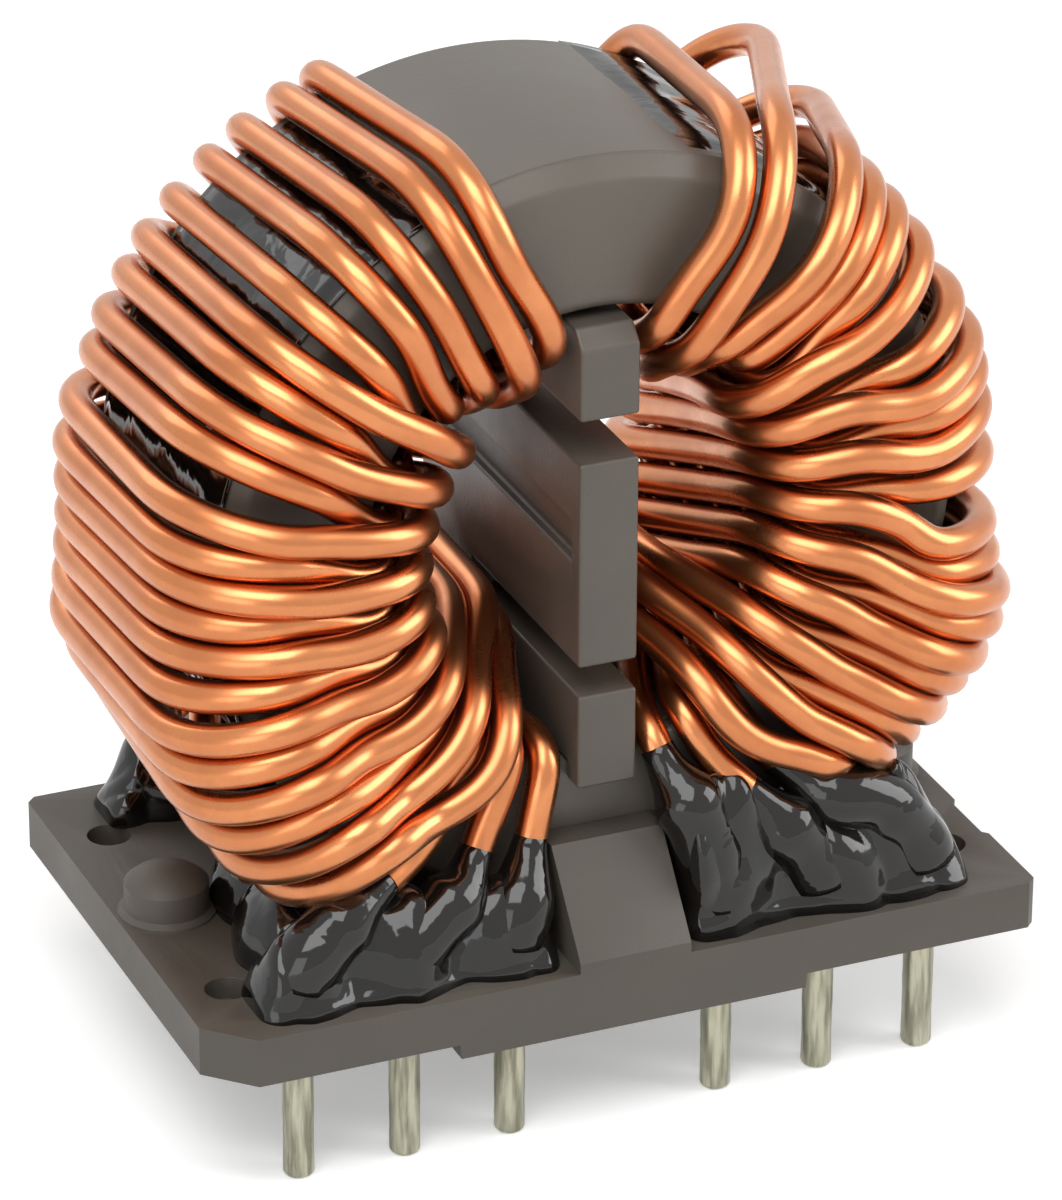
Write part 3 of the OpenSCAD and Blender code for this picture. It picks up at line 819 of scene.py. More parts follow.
@dataclass
class Winding:
    """Three parallel strands wound in two passes over one half of the ring.

    Angles are in degrees from the top of the ring. Place numbers count the turns on
    the outside from the top down; each place has the angle where the wire comes over
    the front corner, and the lean to where it goes over the back corner.

    Attributes:
        front_angles: each place's angle at the front corner.
        lean: each place's further angle at the back corner.
        bends_x: where each front end bends above its pin, away from the middle.
        bends_z: height of that bend over the plate.
        leave: radius at which each front end comes to the face, over 16.2 mm.
        webs: height over the plate to which resin climbs each front end.
        proud: place, and how much further its loop stands off at back and front.
        radius: the wire's radius.
        gap: air between the first pass and the case.
        hole_first: angle of the first turn in the hole.
        hole_step: angle from one turn to the next there, for the upper turns.
        cross_first: angle of the second pass's first turn in the hole.
        cross_last: angle of its last one.
        lead_first: angle of the first front end in the hole.
        lead_step: angle from one front end to the next.
        second_in: how much nearer to the axis the second pass lies in the hole.
        hole_bend_r: radius of the bend at the hole's edge.
        bow: least air under the loops outside.
        slack: further air where the loops stand off most.
        slack_at: angle of that place.
        slack_wide: how many degrees away the slack falls to a third.
        reach: greatest X of a loop's centre line.
        step: distance between points.
        rounds: steps of the settling.
    """

    side: Side
    layout: Layout
    front_angles: tuple[float, ...]
    lean: tuple[float, ...]
    bends_x: Triple
    bends_z: Triple
    leave: Triple
    webs: Triple
    proud: tuple[Triple, ...] = ()
    radius: float = 0.75
    gap: float = 0.12
    hole_first: float = 14.4
    hole_step: float = 9.7
    cross_first: float = 50.3
    cross_last: float = 148.8
    lead_first: float = 145.8
    lead_step: float = 9.9
    second_in: float = 1.75
    hole_bend_r: float = 1.5
    bow: float = 0.36
    slack: float = 1.9
    slack_at: float = 108.0
    slack_wide: float = 31.0
    reach: float = 19.2
    step: float = 0.42
    rounds: int = 160

    # -- Places --

    @property
    def hole_r(self) -> float:
        """Radius of the first pass in the hole."""
        return self.layout.case_inner - self.radius - self.gap

    @property
    def face_y(self) -> float:
        """Depth of a wire that lies on the face of the case."""
        return self.layout.case_half + self.radius + self.gap

    @property
    def hole_y(self) -> float:
        """Depth at which the straight run through the hole ends."""
        return self.layout.case_half - 0.6

    @property
    def thick(self) -> float:
        """Distance that two wires keep when they settle."""
        return 2 * self.radius + 0.02

    def point(self, r: float, a: float, y: float) -> list[float]:
        """Point at radius r and angle a from the top of the ring, at depth y."""
        t = math.radians(a)
        return [self.side.value * r * math.sin(t), y, self.layout.ring_z + r * math.cos(t)]

    def hole_angle(self, turn: int, strand: int) -> float:
        """Angle of a turn in the hole; turn -1 is the front end."""
        if turn < 0:
            return self.lead_first + self.lead_step * strand
        if turn > 3:
            m = 3 * (turn - 4) + strand
            return self.cross_first + (self.cross_last - self.cross_first) * m / 8
        m = 9 - 3 * turn + strand
        if m <= 4:
            return self.hole_first + self.hole_step * m
        fifth = self.hole_first + 4 * self.hole_step
        return fifth + (self.lead_first - fifth) * (m - 4) / 8

    def place(self, turn: int, strand: int) -> int:
        """Number of a turn's place on the outside, from the top down."""
        if turn > 3:
            m = 3 * (turn - 4) + strand
            return 5 + 2 * m if m < 8 else 20
        m = 9 - 3 * turn + strand
        return m if m < 5 else 2 * m - 4

    def hole_bend(self, r: float, rise: float, a: float, end: int) -> list[list[float]]:
        """Bend at the edge of the hole, a quarter of an ellipse.

        Args:
            r: radius of the run through the hole.
            rise: how far the wire goes on past the face.
            a: angle from the top of the ring.
            end: 1 at the back and -1 at the front.

        Returns:
            Its points, from the hole to the face.
        """
        b = self.hole_bend_r
        centre, y0 = self.hole_r + b, self.face_y - b
        turns = np.linspace(0, np.pi / 2, 4)
        radii = [centre - (centre - r) * math.cos(t) for t in turns]
        depths = [end * (y0 + (b + rise) * math.sin(t)) for t in turns]
        return [self.point(radius, a, y) for radius, y in zip(radii, depths)]

    def outer_bend(
        self, lift: float, out: float, slack: float, place: int, end: int
    ) -> list[list[float]]:
        """Bend at the outer edge of the case, from the face to the outside.

        The wire leans over from the front angle to the back one little by little: at
        depth y the share of the lean is half of 1 + sin(90 degrees * y / deep).

        Args:
            lift: further height over the face where the bend starts.
            out: air under the loop over the bow.
            slack: part of it by which this loop is looser than its neighbours.
            place: the loop's place on the outside.
            end: 1 at the back and -1 at the front.

        Returns:
            Its points, from the face to the outside.
        """
        at = self.layout
        off = self.radius + self.bow + out
        widest = (3.5 if end > 0 else 5.0) + 0.5 * slack
        # With (1.414 off - radius) / 0.414 the wire just touches the case's corner.
        b = min(widest, max(1.6, (1.414 * off - self.radius) / 0.414))
        r, y0 = at.case_outer + off, at.case_half + off - b
        deep = at.case_half + 1.5
        points = []
        for t in np.linspace(0, np.pi / 2, 6):
            y = end * (y0 + (b + lift * (1 - t / (np.pi / 2)) ** 1.5) * math.cos(t))
            share = 0.5 + 0.5 * math.sin(math.pi / 2 * max(-1.0, min(1.0, y / deep)))
            a = self.front_angles[place] + share * self.lean[place]
            points.append(self.point(r - b + b * math.sin(t), a, y))
        return points

    def turn(self, k: int, s: int) -> list[list[float]]:
        """One turn, from the front of the hole round to it again.

        Low on the ring the loops stand off most: the slack falls off as a bell about
        its angle, and no loop goes beyond the reach in X.

        Args:
            k: the turn's number, from 0; the second pass starts at 4.
            s: the strand.

        Returns:
            Its control points.
        """
        second = k > 3
        r = self.hole_r - self.second_in if second else self.hole_r
        rise, lift = (1.45, 0.5) if second else (0.0, 0.0)
        a0, a1 = self.hole_angle(k - 1, s), self.hole_angle(k, s)
        place = self.place(k, s)
        front = self.front_angles[place]
        back = front + self.lean[place]
        ease = self.slack * math.exp(-(((front - self.slack_at) / self.slack_wide) ** 2))
        widest = self.reach / max(math.sin(math.radians(back)), 0.5)
        widest = widest - self.layout.case_outer - self.radius - self.bow
        extra_back = sum(more for number, more, _ in self.proud if number == place)
        extra_front = sum(more for number, _, more in self.proud if number == place)
        out_back = min(ease, widest) + extra_back
        out_front = min(0.85 * ease + 0.6, widest) + extra_front
        # Where the second pass starts, the strands cross the first pass in the hole,
        # and the middle one goes nearer to the axis, clear of its neighbours.
        shares = (0.15, 1 / 3, 2 / 3) if k == 4 else (1 / 3, 2 / 3)
        nests = (1.0, 0.64, 0.34) if k == 4 and s == 1 else (0.0, 0.0, 0.0)
        y0 = self.hole_y
        run = [
            self.point(r - nest, a0 + (a1 - a0) * t, -y0 + 2 * y0 * t)
            for t, nest in zip(shares, nests)
        ]

        def halfway(angle: float, end: int) -> list[list[float]]:
            """Point where the second pass crosses the first on a face."""
            if not second:
                return []
            return [self.point(14.0, a1 + (angle - a1) * 0.5, end * (self.face_y + 1.3))]

        sink = (0.6 + (0.8 if s == 1 else 0.0)) if k == 3 else 0.0
        return (
            run
            + self.hole_bend(r, rise, a1, 1)
            + halfway(back, 1)
            + self.outer_bend(lift, out_back, extra_back, place, 1)
            + self.outer_bend(lift, out_front, extra_front, place, -1)[::-1]
            + halfway(front, -1)
            + self.hole_bend(r - sink, rise + 0.8 * sink, a1, -1)[::-1]
        )

    def front_end(self, s: int) -> list[list[float]]:
        """Front end of a strand, from its pin up to the hole."""
        at, side = self.layout, self.side.value
        a = self.hole_angle(-1, s)
        x = side * at.pin_pitch * (3 - s)
        bend_z = at.plate_top + self.bends_z[s]
        return [
            [x, -at.pin_row_y, at.pin_top],
            [x, -at.pin_row_y, at.pin_top + 1.3],
            [side * self.bends_x[s], 0.3 - at.pin_row_y, bend_z],
            self.point(16.2 * self.leave[s], a, -self.face_y - 0.2),
        ] + self.hole_bend(self.hole_r, 0.0, a, -1)[::-1]

    def back_end(self, s: int) -> list[list[float]]:
        """Back end of a strand, out of the hole and down to its pin.

        The middle strand lies 0.9 mm nearer to the axis, clear of its neighbours.
        """
        at, side = self.layout, self.side.value
        a = self.hole_angle(6, s) + 7.9
        r = self.hole_r - 3.4 - (0.9 if s == 1 else 0.0)
        y0 = self.hole_y
        y1 = at.case_half + self.radius + 3.1
        pin = at.pin_pitch * (3 - s)
        x = 6.3 * math.sin(math.radians(a))
        return [
            self.point(r, a - 2.5, -0.48 * y0),
            self.point(r, a, 0.12 * y0),
            self.point(r, a, y0),
            self.point(r + 1.2, a, y0 + 0.72 * (y1 - y0)),
            [side * (1.18 * x + 0.1 * pin), y1, at.ring_z + 9.9 * math.cos(math.radians(a))],
            [side * (0.45 * x + 0.495 * pin), y1 - 0.3, at.plate_top + 5.4],
            [side * pin, at.pin_row_y, at.pin_top + 1.4],
            [side * pin, at.pin_row_y, at.pin_top],
        ]

    def control(self, s: int) -> np.ndarray:
        """All control points of a strand."""
        points = self.front_end(s)
        for k in range(7):
            points += self.turn(k, s)
        return np.array(points + self.back_end(s))

    # -- Settling --

    def out_of_case(self, p: np.ndarray) -> np.ndarray:
        """Moves that take points out of the case's cross section.

        The section is a rectangle of radius and depth with rounded corners. The
        nearest point on its core rectangle gives the direction, and the wire's
        radius plus the corner's gives the distance that must be kept. A point in the
        core rectangle leaves by its nearest side.

        Args:
            p: points of all strands.

        Returns:
            The move of each point.
        """
        at, corner, tiny = self.layout, 0.6, 1e-6
        x, y, z = p[:, 0], p[:, 1], p[:, 2] - at.ring_z
        r = np.hypot(x, z)
        dr = r - np.clip(r, at.case_inner + corner, at.case_outer - corner)
        dy = y - np.clip(y, -at.case_half + corner, at.case_half - corner)
        d = np.hypot(dr, dy)
        keep = corner + self.radius + 0.02
        inside = d < tiny
        gaps = np.stack([r - at.case_inner, at.case_outer - r, at.case_half - np.abs(y)])
        pick = np.argmin(gaps, axis=0)
        side_r = np.where(pick == 0, -1.0, np.where(pick == 1, 1.0, 0.0))
        nr = np.where(inside, side_r, dr / np.maximum(d, tiny))
        ny = np.where(inside, np.where(pick == 2, np.sign(y), 0.0), dy / np.maximum(d, tiny))
        push = np.maximum(np.where(inside, gaps.min(axis=0) + self.radius, keep - d), 0.0)
        unit_x, unit_z = x / np.maximum(r, tiny), z / np.maximum(r, tiny)
        return np.stack([unit_x * nr * push, ny * push, unit_z * nr * push], axis=1)

    def near_pairs(
        self, p: np.ndarray, strand: np.ndarray, number: np.ndarray
    ) -> tuple[np.ndarray, np.ndarray]:
        """Pairs of points that may soon touch.

        They are less than 0.9 mm from touching, and lie on different strands or more
        than 3.2 mm apart along one strand.

        Args:
            p: points of all strands.
            strand: each point's strand.
            number: each point's number on its strand.

        Returns:
            The first and the second point of each pair.
        """
        skip = int(3.2 / self.step)
        found_i, found_j = [], []
        for low in range(0, len(p), 500):
            gap = np.linalg.norm(p[low : low + 500][:, None] - p[None], axis=2)
            i, j = np.nonzero(gap < self.thick + 0.9)
            i = i + low
            apart = (strand[i] != strand[j]) | (np.abs(number[i] - number[j]) > skip)
            far = (j > i) & apart
            found_i.append(i[far])
            found_j.append(j[far])
        return np.concatenate(found_i), np.concatenate(found_j)

    def apart(self, p: np.ndarray, pairs: tuple[np.ndarray, np.ndarray]) -> np.ndarray:
        """Moves that part wires closer than their thickness.

        Each point of a pair moves by half of what is missing. The sum of a point's
        moves is divided by the root of their number, so that they don't overshoot.

        Args:
            p: points of all strands.
            pairs: points that may touch.

        Returns:
            The move of each point.
        """
        i, j = pairs
        line = p[j] - p[i]
        d = np.maximum(np.linalg.norm(line, axis=1), 1e-6)
        bite = np.maximum(self.thick - d, 0.0)
        shove = line / d[:, None] * (0.5 * bite)[:, None]
        total, count = np.zeros_like(p), np.zeros(len(p))
        for which, way in ((j, shove), (i, -shove)):
            np.add.at(total, which, way)
            np.add.at(count, which, bite > 0)
        return total / np.maximum(count, 1)[:, None] ** 0.5

    def push_out(self, p: np.ndarray, inner: np.ndarray) -> None:
        """Takes points out of the case, the divider and the plate, in place.

        Args:
            p: points of all strands.
            inner: whether each point may move.
        """
        at, side = self.layout, self.side.value
        p[inner] += self.out_of_case(p)[inner]
        clear = at.divider_half + self.radius + 0.05
        beside = (np.abs(p[:, 1]) < 9.6) & (np.abs(p[:, 2] - at.ring_z) < 11.0) & inner
        short = np.maximum(clear - side * p[:, 0], 0.0)
        p[beside, 0] += side * short[beside]
        p[inner, 2] = np.maximum(p[inner, 2], at.plate_top + self.radius + 0.02)

    def settle_wires(self) -> list[np.ndarray]:
        """Lets the strands relax until none runs into another or into the case.

        Each round a point moves a third of the way towards the middle of its
        neighbours and nearly as far back again, which takes out kinks and keeps the
        bends, and a little back to its place on the drawn route, except in the last
        quarter of the rounds. Then wires closer than their thickness push each other
        apart, and the case, the divider and the plate push them out. The three points
        at each end stay where they are.

        Returns:
            The centre line of each strand.
        """
        lines = [smooth(resample(self.control(s), self.step), 4) for s in range(3)]
        sizes = [len(line) for line in lines]
        starts = np.cumsum([0] + sizes)
        p = np.concatenate(lines)
        home = p.copy()
        strand = np.repeat(np.arange(3), sizes)
        number = np.arange(len(p)) - starts[strand]
        inner = np.ones(len(p), bool)
        for low, high in zip(starts[:-1], starts[1:]):
            inner[low : low + 3] = False
            inner[high - 3 : high] = False
        pairs = (np.zeros(0, int), np.zeros(0, int))
        for turn in range(self.rounds):
            if turn % 12 == 0:
                pairs = self.near_pairs(p, strand, number)
            for share in (0.33, -0.30):
                middle = (np.roll(p, 1, axis=0) + np.roll(p, -1, axis=0)) / 2
                p[inner] += (share * (middle - p))[inner]
            if turn <= self.rounds * 0.75:
                p[inner] += 0.02 * (home - p)[inner]
            p[inner] += self.apart(p, pairs)[inner]
            self.push_out(p, inner)
        d = np.linalg.norm(p[pairs[1]] - p[pairs[0]], axis=1)
        close = int((d < 2 * self.radius).sum())
        told = "%s winding: least distance %.3f, %d pairs closer than the wire"
        LOG.info(told, self.side.name.lower(), float(d.min()), close)
        return [p[low:high] for low, high in zip(starts[:-1], starts[1:])]

    # -- Pieces --

    def build(self) -> None:
        """Builds one tube for each strand, and the resin that climbs it."""
        for s, line in enumerate(self.settle_wires()):
            path = resample(smooth(line, 2), self.step * 0.75)
            stem = f"{self.side.name.lower()}_strand_{s + 1}"
            settle(bent_tube(f"{stem}_wire", path, self.radius), COPPER, "wire", stem)
            self.web(f"{stem}_resin_web", path, self.webs[s])

    def web(self, name: str, path: np.ndarray, top: float) -> None:
        """Resin that climbs a wire out of the pool at its foot.

        Over its upper 2.6 mm, where t goes from 0 to 1, the web's radius falls to
        the wire's: it stands over it by 0.01 + 0.8 (1 - t)^1.6 mm, with a ripple of
        0.06 (1 - t) mm along the wire, and by 0.01 mm at least.

        Args:
            name: the piece's name.
            path: the strand's centre line from its front pin on.
            top: height over the plate at which the web ends.
        """
        high = int(np.argmax(path[:, 2] > self.layout.plate_top + top))
        part = path[2:high]
        left = distances(part)
        t = 1 - np.clip((left[-1] - left) / 2.6, 0, 1)
        least = self.radius + 0.01
        radii = least + 0.8 * (1 - t) ** 1.6 + 0.06 * (1 - t) * np.sin(2.3 * left + top)
        settle(bent_tube(name, part, np.maximum(radii, least), 24), RESIN, "resin")


def windings(layout: Layout) -> list[Winding]:
    """Both windings, with the places of their turns."""
    left = Winding(
        side=Side.LEFT,
        layout=layout,
        front_angles=(
            18.8, 24.5, 31.8, 38.0, 45.6, 52.3, 57.3, 63.2, 68.0, 76.8, 82.5,
            87.0, 92.0, 97.0, 102.0, 107.0, 111.5, 117.0, 122.5, 128.5, 135.0,
        ),
        lean=(3.6, 3.5, 3.2, 3.2, 2.6, 2.4, 3.0, 3.4, 3.8, 2.4, 2.6) + (3.4,) * 10,
        bends_x=(11.1, 6.9, 4.05),
        bends_z=(4.8, 3.7, 3.4),
        leave=(1.0, 0.95, 0.93),
        webs=(4.9, 5.4, 5.3),
        proud=((17, 0.0, 0.3), (18, 0.0, 0.5), (19, 0.0, 0.8), (20, 0.0, 0.9)),
    )
    right = Winding(
        side=Side.RIGHT,
        layout=layout,
        front_angles=(
            20.5, 26.0, 38.0, 43.5, 48.5, 55.0, 65.0, 71.5, 76.0, 81.0, 88.5,
            99.0, 103.0, 106.5, 110.5, 114.5, 119.5, 124.0, 129.0, 133.5, 138.0,
        ),
        lean=(6.5, 16.8, 16.5, 15.5, 14.0, 11.0, 7.5, 5.5, 4.8) + (4.0,) * 12,
        bends_x=(12.0, 5.9, 3.7),
        bends_z=(5.25, 6.7, 6.2),
        leave=(0.92, 0.78, 0.75),
        webs=(6.9, 6.2, 8.4),
        proud=((1, 2.5, 0.7), (2, 2.2, 0.5), (3, 0.9, 0.2), (4, 0.4, 0.1)),
    )
    return [left, right]


# -- Resin --

WAVES = (
    (1.9, 0.7, 0.0),
    (-1.1, 1.6, 1.3),
    (0.6, 2.3, 2.1),
    (2.7, -1.2, 0.4),
    (3.4, 2.2, 2.9),
    (-2.3, 3.1, 5.2),
)


def ripple(u: np.ndarray, v: np.ndarray, seed: float) -> np.ndarray:
    """Smooth uneven field from -1 to 1: a sum of sines at odd angles and lengths.

    Wave number n is sin(a u + b v + c + seed (1 + 0.37 n)) / (1 + 0.35 n), with a, b
    and c from its line in the list, and the sum is divided by 3.6.

    Args:
        u: first place.
        v: second place.
        seed: shifts every wave.

    Returns:
        The field at each place.
    """
    total = 0
    for n, (a, b, c) in enumerate(WAVES):
        total = total + np.sin(a * u + b * v + c + seed * (1.0 + 0.37 * n)) / (1 + 0.35 * n)
    return total / 3.6


@dataclass
class ResinPool:
    """Resin over the wire ends of three pins.

    Its height over the plate and the depth of its outer foot, the reach, are given at
    places along X. The inner foot lies at one depth, the back.
    """

    side: Side
    row: Row
    layout: Layout
    places: tuple[float, ...]
    heights: tuple[float, ...]
    reach: tuple[float, ...]
    seed: float
    back: float = 7.9
    lump: float = 0.75
    steps: int = 150
    turns: int = 72

    def soft(self, values: tuple[float, ...], x: np.ndarray) -> np.ndarray:
        """Values given at the places, softened by a bell curve.

        Args:
            values: one for each place.
            x: where they are wanted.

        Returns:
            The softened value at each x.
        """
        fine = np.linspace(self.places[0], self.places[-1], 400)
        kernel = np.exp(-np.linspace(-2.2, 2.2, 25) ** 2)
        kernel /= kernel.sum()
        line = np.pad(np.interp(fine, self.places, values), 12, mode="edge")
        return np.interp(x, fine, np.convolve(line, kernel, mode="valid"))

    def build(self) -> None:
        """Builds the pool as sections along X, closer together at its ends.

        At each x the section runs from the outer foot over the top to the inner
        foot as an arch: depth = middle + (half + swell) cos a, height =
        (h + swell) (sin a)^0.75, for a from 0 to 180 degrees, and closes flat on the
        plate. The swell makes round lumps with creases between them:
        lump (2.4 root(slow^2 + 0.003) - 0.7) + 0.1 quick, where slow and quick are
        ripples. It is weakest at the feet, in low places and at the pool's ends. A
        thin skirt runs out over the plate at the outer foot.
        """
        t = np.linspace(0, 1, self.steps)
        start, end = self.places[0], self.places[-1]
        x = start + (end - start) * (0.5 - 0.5 * np.cos(np.pi * t))
        rounded = (np.sqrt(np.clip(1 - (2 * t - 1) ** 8, 0, 1)) * 0.98 + 0.02)[:, None]
        h = self.soft(self.heights, x)[:, None] * rounded
        outer = self.soft(self.reach, x)[:, None]
        middle, half = (outer + self.back) / 2, (outer - self.back) / 2 * rounded
        x = x[:, None]
        a = np.linspace(0, np.pi, self.turns - 8)[None, :]
        up, across = np.sin(a) ** 0.75, np.cos(a)
        slow = ripple(x * 0.52, (h * up) * 0.5 + 0.9 * across, self.seed)
        quick = ripple(x * 1.1, (h * up) * 0.9 + 1.4 * across, self.seed + 1.0)
        swell = self.lump * (2.4 * np.sqrt(slow * slow + 0.003) - 0.7) + 0.1 * quick
        swell = swell * np.minimum(1.0, h / 2.5) * (0.25 + 0.75 * np.sin(a)) * rounded
        skirt = 0.5 * np.exp(-((h * up) / 0.45)) * rounded
        y = middle + (half + swell) * across + skirt * (across > 0)
        z = (h + swell) * up
        y_floor = y[:, -1:] + (y[:, :1] - y[:, -1:]) * np.linspace(0, 1, 10)[None, 1:-1]
        y = np.concatenate([y, y_floor], axis=1)
        z = np.concatenate([z, np.zeros_like(y_floor)], axis=1)
        x, y = self.side.value * (x + 0 * y), self.row.value * y
        points = np.stack([x, y, self.layout.plate_top + z - 0.01], axis=2)
        stem = f"{self.row.name.lower()}_{self.side.name.lower()}_resin"
        settle(surface(f"{stem}_pool", points, cap_ends=True), RESIN, "resin", stem)


@dataclass
class ResinFilm:
    """Thin resin that holds the wires to the outside of the case.

    It lies from the first to the last angle, in degrees from the top of the ring,
    and from the front to the back depth.
    """

    name: str
    side: Side
    layout: Layout
    first: float
    last: float
    front: float
    back: float
    thick: float
    seed: float

    def build(self) -> None:
        """Builds a closed skin on the round outside of the case.

        Angle runs one way and depth the other. The skin's height over the case is
        thick * edge * (0.75 + 0.25 * ripple), where edge rises from 0 at an uneven
        outline to 1 within about a millimetre. The underside lies just in the wall.
        """
        at, long = self.layout, self.last - self.first
        s, t = np.linspace(0, 1, 240)[:, None], np.linspace(0, 1, 120)[None, :]
        a = np.radians(self.first + long * s)
        y = self.front + (self.back - self.front) * t
        arc = a * at.case_outer
        wobble = 0.16 * ripple(arc * 0.4, y * 0.4, self.seed)
        edge = np.minimum(np.minimum(s, 1 - s) * long / 8.0, np.minimum(t, 1 - t) * 6.0)
        edge = np.clip(edge * 1.6 + wobble - 0.08, 0, 1)
        edge = edge * edge * (3 - 2 * edge)
        waves = 0.75 + 0.25 * ripple(arc * 0.7, y * 0.7, self.seed + 2.0)
        height = self.thick * edge * waves - 0.02 * (1 - edge)

        def sheet(r: np.ndarray) -> np.ndarray:
            """Points at a radius from the ring's axis."""
            x = self.side.value * r * np.sin(a)
            return np.stack([x + 0 * y, y + 0 * r, at.ring_z + r * np.cos(a) + 0 * y], axis=2)

        top = sheet(at.case_outer + height)
        low = sheet(at.case_outer - 0.05 + 0 * height)
        points = np.concatenate([top, low[:, ::-1]], axis=1)
        settle(surface(self.name, points, cap_ends=True), RESIN, "resin")


@dataclass
class ResinBead:
    """Small bead of resin, flat on what it lies on."""

    name: str
    centre: Triple
    half: Triple
    seed: float

    def build(self) -> None:
        """Builds half an ellipsoid with an uneven surface, closed below.

        At height angle b and turn a a point lies at half sizes times
        (cos b cos a, cos b sin a, sin b), swollen by up to a tenth.
        """
        a = np.linspace(0, 2 * np.pi, 48, endpoint=False)[None, :]
        b = np.linspace(0.02, np.pi / 2 - 0.05, 16)[:, None]
        swell = 1 + 0.1 * ripple(3 * np.cos(a) * np.cos(b), 3 * np.sin(a) * np.cos(b), self.seed)
        x = self.centre[0] + self.half[0] * np.cos(b) * np.cos(a) * swell
        y = self.centre[1] + self.half[1] * np.cos(b) * np.sin(a) * swell
        z = self.centre[2] + self.half[2] * np.sin(b) * swell
        piece = surface(self.name, np.stack([x, y, z], axis=2), cap_ends=True)
        settle(piece, RESIN, "resin")


def resin(layout: Layout) -> list[ResinPool | ResinFilm | ResinBead]:
    """Every piece of resin: the pools at the feet, films on the case and beads."""
    left, right = Side.LEFT, Side.RIGHT
    back_places = (2.95, 3.6, 5.4, 7.5, 9.5, 11.5, 13.5, 15.5, 17.0)
    pools = [
        ResinPool(
            left, Row.FRONT, layout,
            places=(2.95, 3.6, 5.0, 6.4, 7.4, 8.8, 10.0, 11.4, 12.6, 13.8, 15.0, 16.2, 17.0),
            heights=(1.6, 3.4, 4.1, 3.1, 2.6, 3.7, 4.5, 4.1, 3.1, 3.8, 4.0, 2.4, 0.8),
            reach=(10.9, 11.3, 11.4, 11.1, 10.7, 11.2, 11.6, 11.2, 10.8, 11.3, 11.5, 11.2, 10.8),
            seed=0.4,
        ),
        ResinPool(
            right, Row.FRONT, layout,
            places=(2.95, 3.5, 5.0, 6.6, 8.2, 10.0, 12.0, 13.8, 15.4, 17.0),
            heights=(3.0, 6.8, 7.7, 6.2, 4.9, 5.0, 5.2, 6.6, 4.2, 0.8),
            reach=(11.0, 11.4, 11.6, 11.1, 10.8, 11.3, 11.5, 11.2, 11.3, 10.8),
            seed=2.7,
            lump=0.95,
        ),
        ResinPool(
            left, Row.BACK, layout,
            places=back_places,
            heights=(1.4, 3.0, 3.6, 3.4, 3.8, 4.0, 4.2, 3.4, 0.9),
            reach=(10.9, 11.2, 11.4, 11.3, 11.5, 11.4, 11.5, 11.2, 10.8),
            seed=4.1,
        ),
        ResinPool(
            right, Row.BACK, layout,
            places=back_places,
            heights=(1.4, 3.2, 3.8, 3.3, 3.6, 3.9, 3.7, 2.2, 0.8),
            reach=(10.9, 11.2, 11.5, 11.3, 11.4, 11.5, 11.4, 11.2, 10.8),
            seed=5.6,
        ),
    ]
    films = [
        ResinFilm("left_case_resin", left, layout, 24.0, 118.0, -7.0, 7.2, 0.28, 1.2),
        ResinFilm("right_case_resin", right, layout, 15.0, 112.0, -6.2, 7.4, 0.3, 3.4),
    ]
    beads = [
        ResinBead("left_foot_resin", (-14.0, -5.6, 2.95), (2.0, 3.4, 3.4), 0.9),
        ResinBead("left_side_resin", (-13.6, -0.8, 2.95), (1.8, 3.2, 2.2), 2.2),
        ResinBead("right_foot_resin", (14.2, -5.8, 2.95), (2.0, 3.2, 3.8), 3.1),
    ]
    return pools + films + beads


# -- Studio --


@dataclass
class SoftBox:
    """Square lamp that looks at the part; places and size are in metres."""

    name: str
    place: Triple
    size: float
    power: float
    aim: Triple = (0.0, 0.0, 0.02)

    def build(self) -> None:
        """Adds the lamp, turned towards its aim."""
        lamp = bpy.data.lights.new(self.name, "AREA")
        lamp.shape = "SQUARE"
        lamp.size = self.size
        lamp.energy = self.power
        holder = bpy.data.objects.new(self.name, lamp)
        bpy.context.scene.collection.objects.link(holder)
        away = Vector(self.place) - Vector(self.aim)
        holder.rotation_mode = "QUATERNION"
        holder.rotation_quaternion = away.to_track_quat("Z", "Y")
        holder.location = self.place


@dataclass
class Camera:
    """Camera at the photograph's viewing angle.

    Azimuth and elevation are those of the line from the part to the camera, with
    azimuth 0 in front of the part. Offsets and distance are in millimetres, seen
    from the middle of the plate's top. The focal length and the height of the frame
    are in pixels of the photograph.
    """

    azimuth: float = -23.07
    elevation: float = 26.33
    roll: float = 0.28
    distance: float = 302.865
    offset_x: float = 0.225
    offset_y: float = 10.83
    focal_px: float = 6686.5
    frame_px: float = 1200.0
    sensor_mm: float = 36.0
    plate_top: float = 3.0

    def build(self) -> None:
        """Adds the camera and makes it the scene's."""
        az, el, roll = (math.radians(v) for v in (self.azimuth, self.elevation, self.roll))
        back = Vector((math.sin(az) * math.cos(el), -math.cos(az) * math.cos(el), math.sin(el)))
        right = Vector((0.0, 0.0, 1.0)).cross(back).normalized()
        up = back.cross(right)
        turned_right = math.cos(roll) * right + math.sin(roll) * up
        turned_up = -math.sin(roll) * right + math.cos(roll) * up
        place = self.offset_x * turned_right + self.offset_y * turned_up + self.distance * back
        place = (place + Vector((0.0, 0.0, self.plate_top))) * MM
        lens = bpy.data.cameras.new("photo_camera")
        lens.sensor_fit = "VERTICAL"
        lens.sensor_height = self.sensor_mm
        lens.lens = self.focal_px / self.frame_px * self.sensor_mm
        lens.clip_start = 0.01
        lens.clip_end = 20.0
        holder = bpy.data.objects.new("photo_camera", lens)
        axes = Matrix((turned_right, turned_up, back)).transposed().to_4x4()
        holder.matrix_world = Matrix.Translation(place) @ axes
        bpy.context.scene.collection.objects.link(holder)
        bpy.context.scene.camera = holder


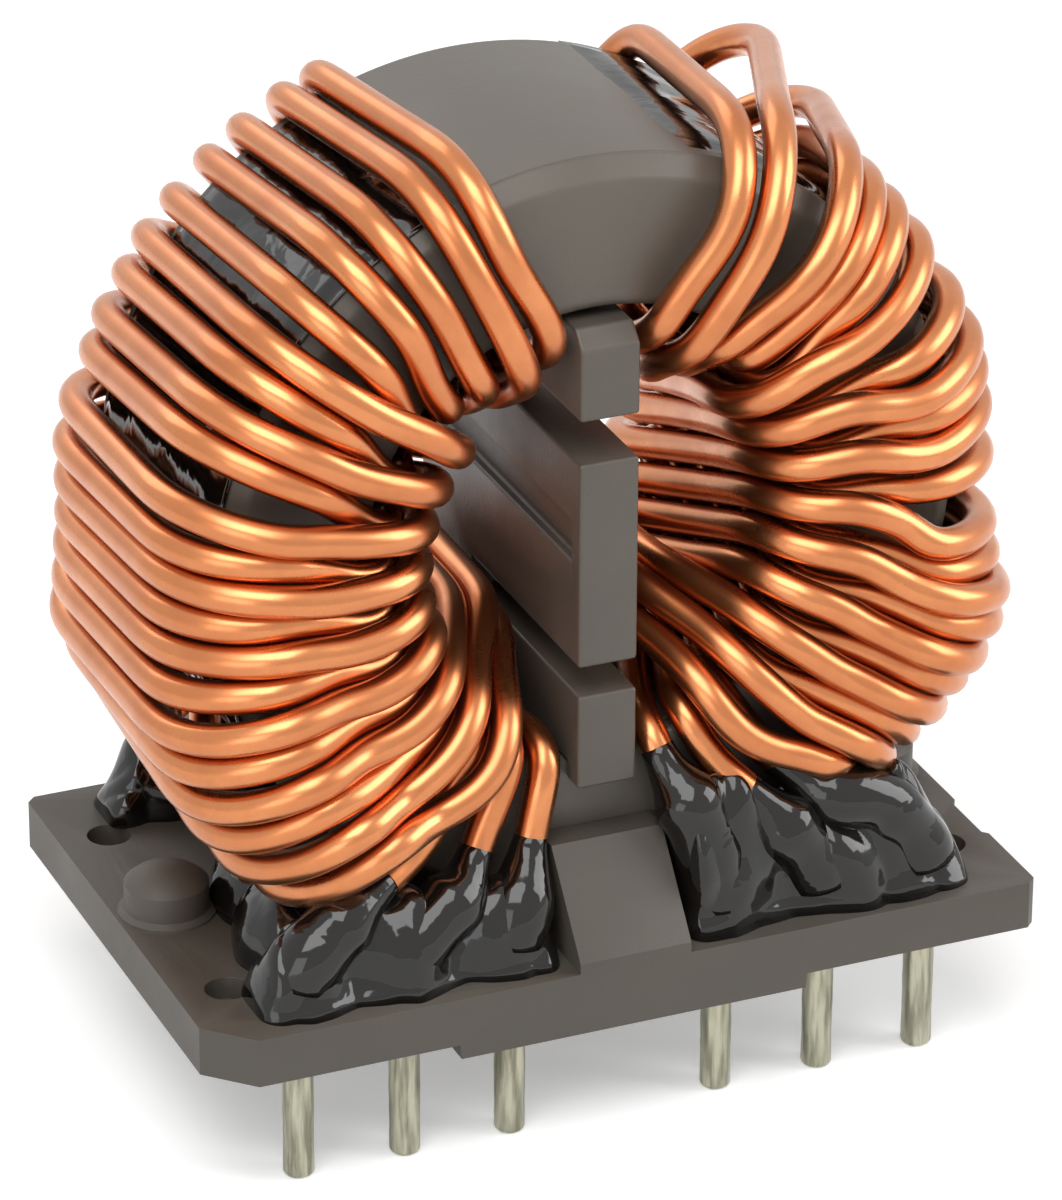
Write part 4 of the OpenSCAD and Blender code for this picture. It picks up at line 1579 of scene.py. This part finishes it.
@dataclass
class Studio:
    """Pale floor, soft lamps, white surroundings and the camera.

    The glow is the white that the floor adds for the rays that see it, and the spread
    is the strength of the surroundings as a light on the part.
    """

    floor_z: float = -5.5
    floor_half: float = 3000.0
    floor_glow: float = 0.34
    spread: float = 0.25
    lamps: list[SoftBox] = field(
        default_factory=lambda: [
            SoftBox("key_softbox", (-0.26, -0.34, 0.70), 0.60, 4.7),
            SoftBox("right_softbox", (0.58, -0.25, 0.34), 0.46, 3.0),
            SoftBox("back_softbox", (-0.15, 0.55, 0.50), 0.45, 0.9),
            SoftBox("low_softbox", (-0.50, -0.40, 0.12), 0.35, 0.7),
        ]
    )

    def seen_share(self, tree: bpy.types.NodeTree) -> Socket:
        """1 for camera, glossy and transmission rays, and 0 for the light that spreads."""
        path = add_node(tree, "ShaderNodeLightPath").outputs
        share = path["Is Camera Ray"]
        for ray in ("Is Glossy Ray", "Is Transmission Ray"):
            inputs = {0: share, 1: path[ray]}
            share = add_node(tree, "ShaderNodeMath", inputs, operation="MAXIMUM").outputs[0]
        return share

    def floor(self) -> None:
        """Pale matt floor that looks white and keeps the part's shadow."""
        w = self.floor_half
        points = np.array([[[x, y, self.floor_z] for x in (-w, w)] for y in (-w, w)])
        piece = surface("studio_floor", points, close_columns=False)
        made = bpy.data.materials.new("white_paper_floor")
        tree, out = clean_tree(made, "ShaderNodeOutputMaterial")
        paper = add_node(tree, "ShaderNodeBsdfDiffuse", {"Color": linear("F0F0F0")})
        inputs = {0: self.seen_share(tree), 1: self.floor_glow}
        share = add_node(tree, "ShaderNodeMath", inputs, operation="MULTIPLY").outputs[0]
        glow = add_node(tree, "ShaderNodeEmission", {"Color": WHITE, "Strength": share})
        both = add_node(tree, "ShaderNodeAddShader", {0: paper.outputs[0], 1: glow.outputs[0]})
        tree.links.new(both.outputs[0], out)
        piece.data.materials.append(made)

    def world(self) -> None:
        """Surroundings: white to the eye and to reflections, softer as a light."""
        world = bpy.data.worlds.new("white_surroundings")
        tree, out = clean_tree(world, "ShaderNodeOutputWorld")
        inputs = {"Value": self.seen_share(tree), "To Min": self.spread, "To Max": 1.0}
        strength = add_node(tree, "ShaderNodeMapRange", inputs).outputs[0]
        sky = add_node(tree, "ShaderNodeBackground", {"Color": WHITE, "Strength": strength})
        tree.links.new(sky.outputs[0], out)
        bpy.context.scene.world = world

    def build(self) -> None:
        """Adds everything and sets the view."""
        self.floor()
        self.world()
        for lamp in self.lamps:
            lamp.build()
        Camera().build()
        bpy.context.scene.view_settings.view_transform = "Standard"


def main() -> None:
    """Builds every piece and the studio."""
    logging.basicConfig(level=logging.INFO, format="%(name)s: %(message)s")
    layout = Layout.from_frame()
    BasePlate().build()
    Divider().build()
    CoreCase(layout).build()
    Pins(layout).build()
    for winding in windings(layout):
        winding.build()
    for piece in resin(layout):
        piece.build()
    Studio(floor_z=layout.pin_tip).build()


if __name__ == "__main__":
    main()
